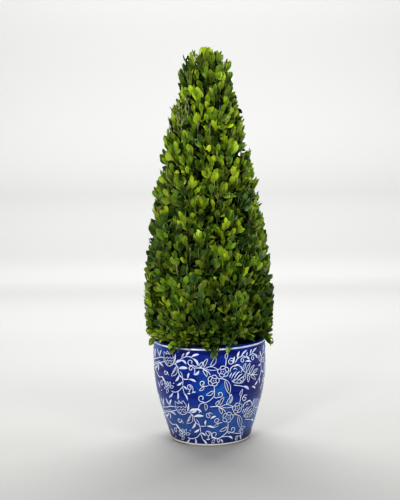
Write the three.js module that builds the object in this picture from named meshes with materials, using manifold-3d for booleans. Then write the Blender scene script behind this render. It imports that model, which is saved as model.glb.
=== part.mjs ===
// A boxwood cone topiary: a clipped cone of small leaves on one central stem, growing in soil in a
// round glazed pot. Millimetres, +Z up. The origin is the centre of the pot's flat underside.
//
// The pot and the soil are turned profiles. The stem is a tapering, slightly crooked rod. The cone is
// built in four tiers, stacked from the rim of the pot to the tip: each tier is a core, bored for the
// stem, with rows of leafy sprigs fused into it that lean outwards and upwards.
import * as THREE from "three";
import { mergeVertices } from "three/addons/utils/BufferGeometryUtils.js";
import Module from "manifold-3d";

// ---- Driving dimensions ----
const CLEARANCE = 0.4; // between solids that would otherwise touch

const POT_HEIGHT = 160;
const POT_RIM_RADIUS = 88;
const POT_UPRIGHT = 38; // the upright stretch of the wall, below the rim
const POT_BEND_RADIUS = 240; // the wall's curve from upright to leaning
const POT_LEAN = 16; // degrees the lower wall leans from upright
const POT_FOOT_ROUND = 3; // rounding between the wall and the underside
const POT_WALL = 7; // its lip is rounded right over
const POT_FLOOR = 9;
const POT_SIDES = 40;

const SOIL_TOP = 140;
const SOIL_CROWN = 3; // how far the soil sinks towards the wall of the pot

const STEM_TIP_Z = 548;
const STEM_RADIUS = 7.5; // above the root flare
const STEM_TIP_RADIUS = 2.2;
const STEM_FLARE = 6; // added to the radius at the soil
const STEM_FLARE_REACH = 9; // height over which the flare dies away
const STEM_SWAY = 3; // how far the crooked leader strays from the axis
const STEM_TWIST = 5; // radians that its sway turns through on the way up

const CROWN_TOP = 610;
const CROWN_DOME_Z = 570; // where the side ends and the dome begins
const CROWN_DOME_RADIUS = 38;
const CROWN_WIDEST_Z = 205;
const CROWN_WIDEST_RADIUS = 104;
const CROWN_BULGE = 5.5; // how far the side stands outside a straight cone at its middle
const CROWN_LOWEST_Z = 160; // the skirt's lowest leaf tips, just over the rim
const CROWN_LOWEST_RADIUS = 93;
const CROWN_SKIRT_ROUND = 0.25; // share of the skirt's height where its rounding is tightest
const CROWN_DOME_ROUND = 0.8; // share of the dome's radius where its rounding is tightest

const CORE_DEPTH = 15; // how far the core lies inside the leaf tips
const CORE_UNDERSIDE = 10; // how far the core reaches down inside the skirt
const CORE_SIDES = 20;

const TIER_TOPS = [232, 334, 446]; // where one tier's core meets the next one's
const TIER_RISE = 52; // degrees above level of the surface between two tiers
const TIER_CUP = 14; // width of the rising edge of that surface, inside the core
const TIER_GAP = 0.8;
const TIER_MARGIN = 1; // leaves keep this far from the next tier's space

const SPRIG_SPACING = 39; // between neighbours in a row
const SPRIG_ROW = 31; // between rows
const SPRIG_ROOT = 7; // depth of a sprig's root under the core's skin
const SPRIG_LIFT = 1.3; // how strongly sprigs turn upwards from square to the surface
const SPRIG_SKIRT_LIFT = 0.35; // the same at the skirt, where they droop
const SPRIG_JITTER = 9; // degrees a sprig may stray from its row's direction
const SPRIG_ROLL = 40; // degrees a sprig may be turned about its twig
const SPRIG_SHORTEST = 40; // from the root to the outline
const SPRIG_UNEVEN = 4; // how far some sprigs stay under the outline
const SPRIG_WANDER = 0.3; // share of the spacing that a sprig may stray along its row
const SPRIG_SKIRT = 0.25; // share of the outline over which the droop gives way to the full lift
const TWIG_RADIUS = 1.6;
const FINEST_EDGE = 0.05; // shorter edges left by the joins are merged away
const LEAF_LENGTH = 28;
const LEAF_WIDTH = 18;
const LEAF_BROADEST = 0.59; // share of the length from the root
const LEAF_THICKNESS = 1.2;
const LEAF_CUP = 0.9; // how far the middle of a leaf stands above its edge
const LEAF_SPLAY = 55; // degrees between a side leaf and its twig
const LEAF_STATIONS = [0.4, 0.7]; // shares of the twig where the two side leaves start

const { clamp, degToRad, lerp } = THREE.MathUtils;
const UP = new THREE.Vector3(0, 0, 1);
const wasm = await Module();
wasm.setup();

// ---- Small helpers ----

// A seeded stream of numbers from 0 to 1, so that every build grows the same plant.
function seededRandom(seed) {
  let state = seed;
  return () => {
    state = (state * 1664525 + 1013904223) % 4294967296;
    return state / 4294967296;
  };
}

function solidOf(geometry) {
  const bare = geometry.index ? geometry.toNonIndexed() : geometry.clone();
  bare.deleteAttribute("normal");
  bare.deleteAttribute("uv");
  const merged = mergeVertices(bare, 1e-4);
  return new wasm.Manifold(
    new wasm.Mesh({
      numProp: 3,
      vertProperties: merged.attributes.position.array,
      triVerts: new Uint32Array(merged.index.array),
    }),
  );
}

function geometryOf(solid) {
  const mesh = solid.getMesh();
  const geometry = new THREE.BufferGeometry();
  geometry.setAttribute("position", new THREE.BufferAttribute(mesh.vertProperties, 3));
  geometry.setIndex(new THREE.BufferAttribute(mesh.triVerts, 1));
  geometry.computeVertexNormals();
  return geometry;
}

// Turns a profile of [radius, height] points about the Z axis.
function turned(profile, sides) {
  const points = profile.map(([r, z]) => new THREE.Vector2(Math.max(r, 0), z));
  return new THREE.LatheGeometry(points, sides).rotateX(Math.PI / 2);
}

// ---- Pot and soil ----

// The pot's outer wall, from the foot to where it is upright: rounded foot, leaning wall, bend.
function potWall() {
  const lean = degToRad(POT_LEAN);
  const bendTop = POT_HEIGHT - POT_UPRIGHT;
  const bendLow = bendTop - POT_BEND_RADIUS * Math.sin(lean);
  const bendRadius = POT_RIM_RADIUS - POT_BEND_RADIUS * (1 - Math.cos(lean));
  const footRadius = bendRadius - (bendLow - POT_FOOT_ROUND) * Math.tan(lean);
  const wall = [];
  for (let k = 0; k <= 2; k++) {
    const turn = (Math.PI / 2) * (k / 2);
    wall.push([
      footRadius - POT_FOOT_ROUND * (1 - Math.sin(turn)),
      POT_FOOT_ROUND * (1 - Math.cos(turn)),
    ]);
  }
  for (let k = 0; k <= 4; k++) {
    const turn = lean * (1 - k / 4);
    wall.push([
      POT_RIM_RADIUS - POT_BEND_RADIUS * (1 - Math.cos(turn)),
      bendTop - POT_BEND_RADIUS * Math.sin(turn),
    ]);
  }
  return wall;
}

// The pot's inner wall, from the floor up, at a distance inside the outer one.
function potInside(distance) {
  const wall = potWall().filter(([, z]) => z > POT_FLOOR);
  const [lowRadius, lowZ] = wall[0];
  const floorRadius = lowRadius - (lowZ - POT_FLOOR) * Math.tan(degToRad(POT_LEAN));
  return [[floorRadius, POT_FLOOR], ...wall].map(([r, z]) => [r - distance, z]);
}

function potGeometry() {
  const lip = POT_WALL / 2;
  const rim = [];
  for (let k = 0; k <= 4; k++) {
    const turn = Math.PI * (k / 4);
    rim.push([
      POT_RIM_RADIUS - lip + lip * Math.cos(turn),
      POT_HEIGHT - lip + lip * Math.sin(turn),
    ]);
  }
  const inside = potInside(POT_WALL).reverse();
  return turned([[0, 0], ...potWall(), ...rim, ...inside, [0, POT_FLOOR]], POT_SIDES);
}

function soilGeometry() {
  const side = potInside(POT_WALL + CLEARANCE);
  side[0][1] += CLEARANCE;
  const edge = POT_RIM_RADIUS - POT_WALL - CLEARANCE;
  const profile = [[0, side[0][1]], ...side, [edge, SOIL_TOP - SOIL_CROWN]];
  return turned([...profile, [edge / 2, SOIL_TOP], [0, SOIL_TOP]], POT_SIDES);
}

// ---- Stem ----

// The stem's radius and the sideways sway of its centre line, at a share of its height.
function stemRadius(share) {
  const height = share * (STEM_TIP_Z - SOIL_TOP);
  const flare = STEM_FLARE * Math.exp(-height / STEM_FLARE_REACH);
  return lerp(STEM_RADIUS, STEM_TIP_RADIUS, share) + flare;
}

function stemCentre(share) {
  const sway = STEM_SWAY * Math.sin(Math.PI * share);
  return [sway * Math.cos(STEM_TWIST * share), sway * Math.sin(STEM_TWIST * share)];
}

// A cylinder whose rings are moved to the stem's centre line and radius. Grown by an allowance,
// the same shape bores the tiers.
function stemGeometry(allowance = 0) {
  const geometry = new THREE.CylinderGeometry(1, 1, 1, 8, 12);
  geometry.rotateX(Math.PI / 2).translate(0, 0, 0.5);
  const position = geometry.attributes.position;
  for (let i = 0; i < position.count; i++) {
    const share = position.getZ(i) ** 2; // rings crowd towards the flare
    const radius = stemRadius(share) + allowance;
    const [x, y] = stemCentre(share);
    position.setXYZ(
      i,
      x + radius * position.getX(i),
      y + radius * position.getY(i),
      lerp(SOIL_TOP + CLEARANCE, STEM_TIP_Z + allowance, share),
    );
  }
  return geometry;
}

// ---- The crown's outline and core ----

// How far the leaf tips reach, as a curve of (radius, height): it rounds under at the skirt, rises
// as a slightly bulging cone and closes in a dome.
function crownOutline() {
  const outline = new THREE.Path();
  outline.moveTo(CROWN_LOWEST_RADIUS, CROWN_LOWEST_Z);
  outline.quadraticCurveTo(
    CROWN_WIDEST_RADIUS,
    lerp(CROWN_LOWEST_Z, CROWN_WIDEST_Z, CROWN_SKIRT_ROUND),
    CROWN_WIDEST_RADIUS,
    CROWN_WIDEST_Z,
  );
  outline.quadraticCurveTo(
    (CROWN_WIDEST_RADIUS + CROWN_DOME_RADIUS) / 2 + 2 * CROWN_BULGE,
    (CROWN_WIDEST_Z + CROWN_DOME_Z) / 2,
    CROWN_DOME_RADIUS,
    CROWN_DOME_Z,
  );
  outline.quadraticCurveTo(CROWN_DOME_RADIUS * CROWN_DOME_ROUND, CROWN_TOP, 0, CROWN_TOP);
  return outline;
}

// A point of the outline at a share of its length, with the direction square to it there.
function outlinePoint(outline, share) {
  const point = outline.getPointAt(share);
  const tangent = outline.getTangentAt(share);
  return { radius: point.x, z: point.y, outward: tangent.y, upward: -tangent.x };
}

function coreSolid(outline) {
  const steps = 18;
  const skin = [];
  for (let k = 0; k <= steps; k++) {
    const at = outlinePoint(outline, k / steps);
    skin.push([at.radius - CORE_DEPTH * at.outward, at.z - CORE_DEPTH * at.upward]);
  }
  skin[steps][0] = 0;
  const [edge, low] = skin[0];
  const under = [[0, low - CORE_UNDERSIDE], [edge - CORE_UNDERSIDE, low - CORE_UNDERSIDE]];
  return solidOf(turned([...under, ...skin], CORE_SIDES));
}

// ---- Tiers ----

// The surface between two tiers: level through the middle, rising outwards with the sprigs.
function tierSurface(tierTop) {
  const share = clamp((tierTop - CROWN_WIDEST_Z) / (CROWN_DOME_Z - CROWN_WIDEST_Z), 0, 1);
  const skin = lerp(CROWN_WIDEST_RADIUS, CROWN_DOME_RADIUS, share) - CORE_DEPTH;
  const start = skin - TIER_CUP;
  return { start, height: (r) => tierTop + Math.max(r - start, 0) * Math.tan(degToRad(TIER_RISE)) };
}

// The room of one tier, far out on every side, as a solid and as a test for points.
function tierRoom(low, high) {
  const far = 2 * CROWN_WIDEST_RADIUS;
  const floor = tierSurface(low);
  const ceiling = tierSurface(high);
  const edge = (surface, gap) =>
    [0, surface.start, far].map((r) => [r, surface.height(r) + gap]);
  const profile = [...edge(floor, TIER_GAP / 2), ...edge(ceiling, -TIER_GAP / 2).reverse()];
  const margin = TIER_GAP / 2 + TIER_MARGIN;
  const holds = (point) => {
    const r = Math.hypot(point.x, point.y);
    const clearOfPot = point.z > POT_HEIGHT + TIER_MARGIN || r > POT_RIM_RADIUS + TIER_MARGIN;
    const between = point.z > floor.height(r) + margin && point.z < ceiling.height(r) - margin;
    return clearOfPot && between && point.z < CROWN_TOP + CLEARANCE;
  };
  return { solid: solidOf(turned(profile, CORE_SIDES)), holds };
}

// Whether every corner of a geometry is in the room.
function fits(geometry, room) {
  const position = geometry.attributes.position;
  const point = new THREE.Vector3();
  for (let i = 0; i < position.count; i++) {
    if (!room.holds(point.fromBufferAttribute(position, i))) return false;
  }
  return true;
}

// ---- Sprigs ----

// A blunt-tipped leaf of ten faces, lying along +X from its root: a ball with five sides, flattened.
function leafGeometry(length, width) {
  const leaf = new THREE.SphereGeometry(1, 5, 2).rotateX(Math.PI / 2);
  const position = leaf.attributes.position;
  for (let i = 0; i < position.count; i++) {
    const [x, y, z] = [position.getX(i), position.getY(i), position.getZ(i)];
    const middle = Math.abs(z) > 0.5;
    const isRoot = x < -0.5;
    const isTip = x > 0.5;
    position.setXYZ(
      i,
      length * (middle ? LEAF_BROADEST : isRoot ? 0 : isTip ? 1 : LEAF_BROADEST),
      middle ? 0 : (width / 2) * (y / Math.sin(degToRad(72))),
      middle ? LEAF_CUP + (LEAF_THICKNESS / 2) * z : 0,
    );
  }
  return leaf;
}

// A leaf that starts inside its twig at a point, with its upper face turned one way.
function leafAt(start, along, facing, size) {
  const across = new THREE.Vector3().crossVectors(facing, along).normalize();
  const face = new THREE.Vector3().crossVectors(along, across);
  const frame = new THREE.Matrix4().makeBasis(along, across, face).setPosition(start);
  return leafGeometry(LEAF_LENGTH * size, LEAF_WIDTH * size).applyMatrix4(frame);
}

// A three-sided twig from its root towards its tip.
function twigGeometry(root, direction, length) {
  const twig = new THREE.CylinderGeometry(TWIG_RADIUS * 0.6, TWIG_RADIUS, length, 3, 1);
  const turn = new THREE.Quaternion().setFromUnitVectors(new THREE.Vector3(0, 1, 0), direction);
  return twig.translate(0, length / 2, 0).applyQuaternion(turn).translate(root.x, root.y, root.z);
}

// A sprig's twig with a pair of side leaves and one leaf at the end, fanned out and facing outwards.
function sprigSolids(sprig, room) {
  const { root, direction, facing, length, size } = sprig;
  const endAt = length - LEAF_LENGTH * size;
  const onTwig = (share) => root.clone().addScaledVector(direction, endAt * share);
  const turnedTo = (degrees) => direction.clone().applyAxisAngle(facing, degToRad(degrees));
  const leaves = [
    leafAt(onTwig(LEAF_STATIONS[0]), turnedTo(LEAF_SPLAY), facing, size),
    leafAt(onTwig(LEAF_STATIONS[1]), turnedTo(-LEAF_SPLAY), facing, size),
    leafAt(onTwig(1), direction, facing, size),
  ].filter((leaf) => fits(leaf, room));
  const twig = twigGeometry(root, direction, endAt + TWIG_RADIUS);
  if (!leaves.length || !fits(twig, room)) return [];
  return [twig, ...leaves].map(solidOf);
}

// One sprig that ends at the outline, at an azimuth, and starts under the core's skin.
function sprigAt(at, azimuth, lift, random) {
  const outward = new THREE.Vector3(Math.cos(azimuth), Math.sin(azimuth), 0);
  const sideways = new THREE.Vector3().crossVectors(UP, outward);
  const square = outward.clone().multiplyScalar(at.outward).addScaledVector(UP, at.upward);
  const jitter = at.radius > 1 ? Math.tan(degToRad(SPRIG_JITTER)) : 0;
  const direction = square.clone().addScaledVector(UP, lift);
  direction.addScaledVector(sideways, jitter * (2 * random() - 1));
  direction.addScaledVector(UP, jitter * (2 * random() - 1)).normalize();
  const full = Math.max((CORE_DEPTH + SPRIG_ROOT) / direction.dot(square), SPRIG_SHORTEST);
  const tip = outward.clone().multiplyScalar(at.radius).setZ(at.z);
  const length = full - (at.radius > 1 ? SPRIG_UNEVEN * random() : 0);
  const root = tip.clone().addScaledVector(direction, -full);
  const roll = degToRad(SPRIG_ROLL * (2 * random() - 1));
  const facing = new THREE.Vector3().crossVectors(direction, sideways).negate();
  facing.applyAxisAngle(direction, roll);
  return { root, direction, facing, length, size: lerp(0.88, 1.04, random()) };
}

// The sprigs of one tier, in rows up its stretch of the outline and evenly round it.
function tierSprigs(outline, from, to, random) {
  const rows = Math.round((outline.getLength() * (to - from)) / SPRIG_ROW);
  const sprigs = [];
  for (let row = 0; row < rows; row++) {
    const share = lerp(from, to, from > 0 ? (row + 0.5) / rows : row / (rows - 0.5));
    const at = outlinePoint(outline, share);
    const lift = lerp(SPRIG_SKIRT_LIFT, SPRIG_LIFT, Math.min(share / SPRIG_SKIRT, 1));
    const count = Math.round((2 * Math.PI * at.radius) / SPRIG_SPACING);
    for (let k = 0; k < count; k++) {
      const step = k + 0.5 * (row % 2) + SPRIG_WANDER * (random() - 0.5);
      sprigs.push(sprigAt(at, (2 * Math.PI * step) / count, lift, random));
    }
  }
  return to < 1 ? sprigs : [...sprigs, sprigAt(outlinePoint(outline, 1), 0, SPRIG_LIFT, random)];
}

// The share of the outline's length where it comes out of the surface over a tier.
function outlineShareAt(outline, tierTop) {
  const surface = tierSurface(tierTop);
  let share = 0;
  let at = outlinePoint(outline, share);
  while (share < 1 && at.z < surface.height(at.radius)) {
    share = Math.min(share + 0.002, 1);
    at = outlinePoint(outline, share);
  }
  return share;
}

// One tier: its share of the core with its sprigs rooted in it, bored for the stem.
function tierSolid(outline, core, low, high, random) {
  const room = tierRoom(low, high);
  const from = outlineShareAt(outline, low);
  const to = outlineShareAt(outline, high);
  const grown = tierSprigs(outline, from, to, random).flatMap((sprig) => sprigSolids(sprig, room));
  const bore = solidOf(stemGeometry(CLEARANCE));
  const whole = wasm.Manifold.union([core.intersect(room.solid), ...grown]).subtract(bore);
  const bodies = whole.simplify(FINEST_EDGE).decompose();
  return bodies.sort((a, b) => b.volume() - a.volume())[0];
}

// ---- The assembly ----

const glaze = new THREE.MeshStandardMaterial({ color: 0x1f3f9a, roughness: 0.15 });
const earth = new THREE.MeshStandardMaterial({ color: 0x2a211a, roughness: 0.95 });
const bark = new THREE.MeshStandardMaterial({ color: 0x6b5a45, roughness: 0.85 });
const leaves = new THREE.MeshStandardMaterial({ color: 0x4c7a1c, roughness: 0.5 });

const topiary = new THREE.Group();

function place(name, geometry, material) {
  const mesh = new THREE.Mesh(geometry, material);
  mesh.name = name;
  topiary.add(mesh);
}

place("pot", potGeometry(), glaze);
place("soil", soilGeometry(), earth);
place("stem", stemGeometry(), bark);

const outline = crownOutline();
const core = coreSolid(outline);
const random = seededRandom(20);
const levels = [0, ...TIER_TOPS, 2 * CROWN_TOP];
const tierNames = ["skirt", "lower", "upper", "tip"];
tierNames.forEach((name, k) => {
  const tier = tierSolid(outline, core, levels[k], levels[k + 1], random);
  place(`foliage_${name}`, geometryOf(tier), leaves);
});

export default topiary;
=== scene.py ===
# %% [markdown]
# # A boxwood cone in a blue-and-white pot
# The solids of this part come packed: a glazed pot, its soil, a short woody stem and four tiers of
# clipped foliage, all in metres and all in one frame. This script dresses them. The pot gets its
# glaze and its raised white pattern, the stem its bark, and the foliage is grown again leaf by leaf
# inside the same outline.

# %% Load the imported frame
import math
import random

import bmesh
import bpy
import numpy as np
from mathutils import Matrix, Vector, noise


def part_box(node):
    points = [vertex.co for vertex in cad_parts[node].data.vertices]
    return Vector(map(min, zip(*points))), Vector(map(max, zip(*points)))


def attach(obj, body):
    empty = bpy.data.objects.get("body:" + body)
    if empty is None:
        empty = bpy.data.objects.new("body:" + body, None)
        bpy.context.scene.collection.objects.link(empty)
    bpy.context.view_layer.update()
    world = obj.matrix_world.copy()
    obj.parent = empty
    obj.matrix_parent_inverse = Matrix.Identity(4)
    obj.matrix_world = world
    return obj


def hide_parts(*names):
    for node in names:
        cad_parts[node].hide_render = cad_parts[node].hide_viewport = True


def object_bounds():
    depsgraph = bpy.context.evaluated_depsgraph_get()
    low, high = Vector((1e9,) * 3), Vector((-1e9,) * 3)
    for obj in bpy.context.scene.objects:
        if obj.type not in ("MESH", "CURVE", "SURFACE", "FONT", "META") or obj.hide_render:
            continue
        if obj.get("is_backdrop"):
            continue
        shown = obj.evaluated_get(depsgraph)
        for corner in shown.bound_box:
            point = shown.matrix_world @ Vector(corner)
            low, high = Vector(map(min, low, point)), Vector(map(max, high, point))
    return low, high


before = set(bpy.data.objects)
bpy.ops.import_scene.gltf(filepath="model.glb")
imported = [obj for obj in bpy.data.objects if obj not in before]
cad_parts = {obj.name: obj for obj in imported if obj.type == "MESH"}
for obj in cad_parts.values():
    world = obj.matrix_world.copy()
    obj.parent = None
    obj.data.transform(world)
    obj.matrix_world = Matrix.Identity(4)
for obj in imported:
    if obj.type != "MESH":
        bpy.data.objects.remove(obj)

box_at_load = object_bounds()
print("nodes:", ", ".join(sorted(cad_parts)))

# %% [markdown]
# ## Camera
# A plant this tall is best seen from a little above the middle and from well back, so that the cone
# keeps its straight sides. A long lens from 1.7 m does that. The camera is built from three
# directions: where it looks, what is right of it and what is up. It leans a hair to one side, as a
# hand-held camera does.

# %% Camera
CAMERA_PLACE = Vector((0.0, -1.73, 0.506))
LOOKS_DOWN = math.radians(6.9)
TURNS = math.radians(-0.41)
LEANS = math.radians(-0.88)

ahead = Vector((
    math.sin(TURNS) * math.cos(LOOKS_DOWN),
    math.cos(TURNS) * math.cos(LOOKS_DOWN),
    -math.sin(LOOKS_DOWN),
))
level = Vector((math.cos(TURNS), -math.sin(TURNS), 0.0))
upright = level.cross(ahead)
right = math.cos(LEANS) * level + math.sin(LEANS) * upright
up = math.cos(LEANS) * upright - math.sin(LEANS) * level


def put_in_scene(name, data):
    """A new object in the scene."""
    thing = bpy.data.objects.new(name, data)
    bpy.context.scene.collection.objects.link(thing)
    return thing


camera_data = bpy.data.cameras.new("camera")
camera_data.sensor_fit = "VERTICAL"
camera_data.sensor_height = 36.0
camera_data.lens = 80.4
camera_data.clip_end = 50.0
camera = put_in_scene("camera", camera_data)
turned = Matrix((right, up, -ahead)).transposed().to_4x4()
camera.matrix_world = Matrix.Translation(CAMERA_PLACE) @ turned
bpy.context.scene.camera = camera
print(f"camera: a {camera_data.lens:.0f} mm lens, {-CAMERA_PLACE.y:.2f} m in front")

# %% [markdown]
# ## Small helpers
# Lengths below are written in millimetres, as a maker would, and MM turns them into metres. A
# finished bmesh becomes a piece of the object in one call: it is smoothed, rides on the plant's one
# body, hides the imported node it stands for and takes its finish.

# %% Units and pieces
MM = 0.001


def lerp(a, b, share):
    return a + (b - a) * share


def finish_piece(mesh, finishes, stands_for=()):
    """Puts a finished mesh into the scene as a piece of the plant, under the mesh's name."""
    mesh.polygons.foreach_set("use_smooth", [True] * len(mesh.polygons))
    for finish in finishes:
        mesh.materials.append(finish)
    piece = put_in_scene(mesh.name, mesh)
    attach(piece, "root")
    if stands_for:
        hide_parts(*stands_for)
    mesh.calc_loop_triangles()
    print(f"{mesh.name}: {len(mesh.loop_triangles)} triangles")


def mesh_from(bm, name):
    mesh = bpy.data.meshes.new(name)
    bm.to_mesh(mesh)
    bm.free()
    return mesh


# %% [markdown]
# ## Writing materials
# A material is a small graph of nodes. These helpers keep the graphs short: one adds a node and
# sets its inputs, with a link wherever another node's output is given. Others give noise, one axis
# of a position, or a colour with tints laid over it. The last links what was made to the shader.
# Numbers that are the same all over a surface are set straight on the shader.

# %% Node helpers
def add_node(tree, kind, settings=None, **inputs):
    """Adds a node. An input is named with _ for a space, or given by its number as n0, n1 ..."""
    node = tree.nodes.new(kind)
    for key, value in (settings or {}).items():
        setattr(node, key, value)
    for key, value in inputs.items():
        at = int(key[1:]) if key[0] == "n" and key[1:].isdigit() else key.replace("_", " ")
        if isinstance(value, bpy.types.NodeSocket):
            tree.links.new(value, node.inputs[at])
        else:
            node.inputs[at].default_value = value
    return node


def object_place(tree):
    return tree.nodes.new("ShaderNodeTexCoord").outputs["Object"]


def own_map(tree, name):
    return add_node(tree, "ShaderNodeUVMap", {"uv_map": name}).outputs[0]


def axis_of(tree, vector, axis):
    return add_node(tree, "ShaderNodeSeparateXYZ", Vector=vector).outputs[axis]


def stretched(tree, vector, scale):
    return add_node(tree, "ShaderNodeMapping", Vector=vector, Scale=scale).outputs[0]


def clouds(tree, place, **settings):
    return add_node(tree, "ShaderNodeTexNoise", Vector=place, **settings).outputs[0]


def arithmetic(tree, operation, a, b=0.0):
    return add_node(tree, "ShaderNodeMath", {"operation": operation}, n0=a, n1=b).outputs[0]


def off_middle(tree, across):
    """How far a value of 0 to 1 is from one half."""
    return arithmetic(tree, "ABSOLUTE", arithmetic(tree, "SUBTRACT", across, 0.5))


def between(tree, value, low, high, low_out=0.0, high_out=1.0):
    """Eases a value from low..high to low_out..high_out, and holds it outside that."""
    return add_node(
        tree, "ShaderNodeMapRange", {"interpolation_type": "SMOOTHSTEP"},
        n0=value, n1=low, n2=high, n3=low_out, n4=high_out,
    ).outputs[0]


def colour_mix(tree, share, a, b):
    """The colour between a and b at a share."""
    return add_node(tree, "ShaderNodeMix", {"data_type": "RGBA"}, n0=share, n6=a, n7=b).outputs[2]


def tinted(tree, colour, *tints):
    """A colour under tints. Each comes in as a value goes from none to full, up to its most."""
    for value, none, full, most, tint in tints:
        colour = colour_mix(tree, between(tree, value, none, full, 0.0, most), colour, tint)
    return colour


def new_material(name, **shader_inputs):
    """A material with one shader, whose plain numbers are set here."""
    material = bpy.data.materials.new(name)
    material.use_nodes = True
    shader = material.node_tree.nodes["Principled BSDF"]
    for key, value in shader_inputs.items():
        shader.inputs[key.replace("_", " ")].default_value = value
    print("material:", name)
    return material, material.node_tree


def dress(tree, colour, rough=None, relief=None, strength=0.0, depth=0.0):
    """Links a colour, a roughness and a relief, whose depth is in millimetres, to the shader."""
    shader = tree.nodes["Principled BSDF"]
    tree.links.new(colour, shader.inputs["Base Color"])
    if rough:
        tree.links.new(rough, shader.inputs["Roughness"])
    if relief:
        bump = add_node(
            tree, "ShaderNodeBump", Height=relief, Strength=strength, Distance=depth * MM,
        )
        tree.links.new(bump.outputs[0], shader.inputs["Normal"])


def new_group(name, takes, gives):
    """A node group with named sockets, and its two end nodes."""
    group = bpy.data.node_groups.new(name, "ShaderNodeTree")
    for socket, kind, value in takes:
        made = group.interface.new_socket(socket, in_out="INPUT", socket_type="NodeSocket" + kind)
        made.default_value = value
    for socket, kind in gives:
        group.interface.new_socket(socket, in_out="OUTPUT", socket_type="NodeSocket" + kind)
    print("node group:", name)
    return group, group.nodes.new("NodeGroupInput"), group.nodes.new("NodeGroupOutput")


def place_group(tree, group, **inputs):
    return add_node(tree, "ShaderNodeGroup", {"node_tree": group}, **inputs).outputs


def give(group, group_out, **values):
    """Links values to a group's outputs by name."""
    for name, value in values.items():
        group.links.new(value, group_out.inputs[name])


def rgb(red, green, blue):
    """A screen colour of 0 to 255 as the linear colour that a shader wants."""
    def linear(part):
        part /= 255.0
        return part / 12.92 if part <= 0.04045 else ((part + 0.055) / 1.055) ** 2.4
    return (linear(red), linear(green), linear(blue), 1.0)


# %% [markdown]
# ## The kiln's unevenness
# Glaze is never one colour. It is brushed on in level strokes, runs a little in the kiln and breaks
# lighter where it is thin. The blue glaze and the white slip share that history, so one node group
# holds it: cloudy patches, level brush strokes, and a faint orange-peel height for the bump.

# %% Kiln group
kiln, kiln_in, kiln_out = new_group(
    "kiln_unevenness",
    takes=[("Patch size", "Float", 30.0), ("Stroke size", "Float", 60.0)],
    gives=[("Patches", "Float"), ("Strokes", "Float"), ("Height", "Float")],
)
place = object_place(kiln)
patches = clouds(
    kiln, place, Scale=kiln_in.outputs["Patch size"], Detail=3.0, Roughness=0.6, Distortion=0.4,
)
strokes = clouds(
    kiln, stretched(kiln, place, (0.35, 0.35, 2.6)),
    Scale=kiln_in.outputs["Stroke size"], Detail=4.0, Roughness=0.65,
)
peel = clouds(kiln, place, Scale=420.0, Detail=1.0)
give(kiln, kiln_out, Patches=patches, Strokes=strokes, Height=peel)

# %% [markdown]
# ## Cobalt glaze
# The pot's blue is a deep navy cobalt with lighter sky patches, violet patches where the glaze is
# thick and level brush strokes through both. Below the middle it is paler, and near the foot it
# is darker. A clear coat over it gives the gloss.

# %% Cobalt glaze
cobalt, tree = new_material(
    "cobalt_glaze", Specular_IOR_Level=0.08, Coat_Weight=0.15, Coat_Roughness=0.08,
)
uneven = place_group(tree, kiln, Patch_size=17.0, Stroke_size=34.0)
height_up = axis_of(tree, object_place(tree), "Z")
blue = tinted(
    tree, rgb(0, 10, 92),
    (uneven["Strokes"], 0.38, 0.66, 1.0, rgb(2, 38, 146)),
    (uneven["Patches"], 0.49, 0.68, 1.0, rgb(10, 78, 168)),  # sky
    (uneven["Patches"], 0.45, 0.32, 1.0, rgb(26, 22, 104)),  # violet
    (height_up, 86 * MM, 50 * MM, 0.6, rgb(54, 88, 154)),  # paler below the middle
    (height_up, 28 * MM, 6 * MM, 0.85, rgb(20, 24, 70)),  # darker near the foot
)
rough = between(tree, uneven["Strokes"], 0.3, 0.7, 0.22, 0.38)
dress(tree, blue, rough, uneven["Height"], strength=0.12, depth=0.3)

# %% [markdown]
# ## Bare clay
# The foot is wiped clean before firing, so that the pot doesn't stick to the kiln's shelf. It shows
# as a thin cream line under the blue.

# %% Bare clay
bare_clay, tree = new_material("bare_clay", Specular_IOR_Level=0.3)
grit = clouds(tree, object_place(tree), Scale=900.0, Detail=4.0)
cream = colour_mix(tree, grit, rgb(222, 218, 200), rgb(248, 244, 232))
dress(tree, cream, between(tree, grit, 0.3, 0.7, 0.6, 0.85), grit, strength=0.3, depth=0.2)

# %% [markdown]
# ## The pot's body
# A thrown pot is one profile turned about its axis, so a bmesh spin is the natural tool: the
# profile's points are joined by edges and spun through a full turn. The foot is rounded, the wall
# leans out, bends upright and ends in a lip that rolls over to the inside. The height and the rim
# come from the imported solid, and the rest repeats the source's named sizes, with a slightly
# rounder foot. Each face then takes its finish by its height.

# %% Pot profile
pot_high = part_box("pot")[1]
POT_HEIGHT = pot_high[2] / MM
RIM_RADIUS = pot_high[0] / MM
POT_WALL = 7.0
POT_FLOOR = 9.0
CORNER_IN, CORNER_UP = 3.0, 4.0  # the bevel where the wall meets the floor inside
FOOT_ROUND = 4.0
FOOT_LINE = 5.5  # height of the bare clay line
LEAN = math.radians(16)
BEND_RADIUS = 240.0
RIM_UPRIGHT = 38.0  # the upright part of the wall, under the rim
BEND_TOP = POT_HEIGHT - RIM_UPRIGHT
BEND_LOW = BEND_TOP - BEND_RADIUS * math.sin(LEAN)
BEND_LOW_RADIUS = RIM_RADIUS - BEND_RADIUS * (1 - math.cos(LEAN))
FOOT_RADIUS = BEND_LOW_RADIUS - (BEND_LOW - FOOT_ROUND) * math.tan(LEAN)
LIP = POT_WALL / 2


def wall_radius(z):
    """The radius of the outer wall at a height, in millimetres."""
    if z > POT_HEIGHT - LIP:
        return RIM_RADIUS - LIP + math.sqrt(max(LIP**2 - (z - POT_HEIGHT + LIP) ** 2, 0.0))
    if z > BEND_TOP:
        return RIM_RADIUS
    if z > BEND_LOW:
        share = (BEND_TOP - z) / BEND_RADIUS
        return RIM_RADIUS - BEND_RADIUS * (1 - math.sqrt(1 - share**2))
    return BEND_LOW_RADIUS - (BEND_LOW - z) * math.tan(LEAN)


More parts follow.
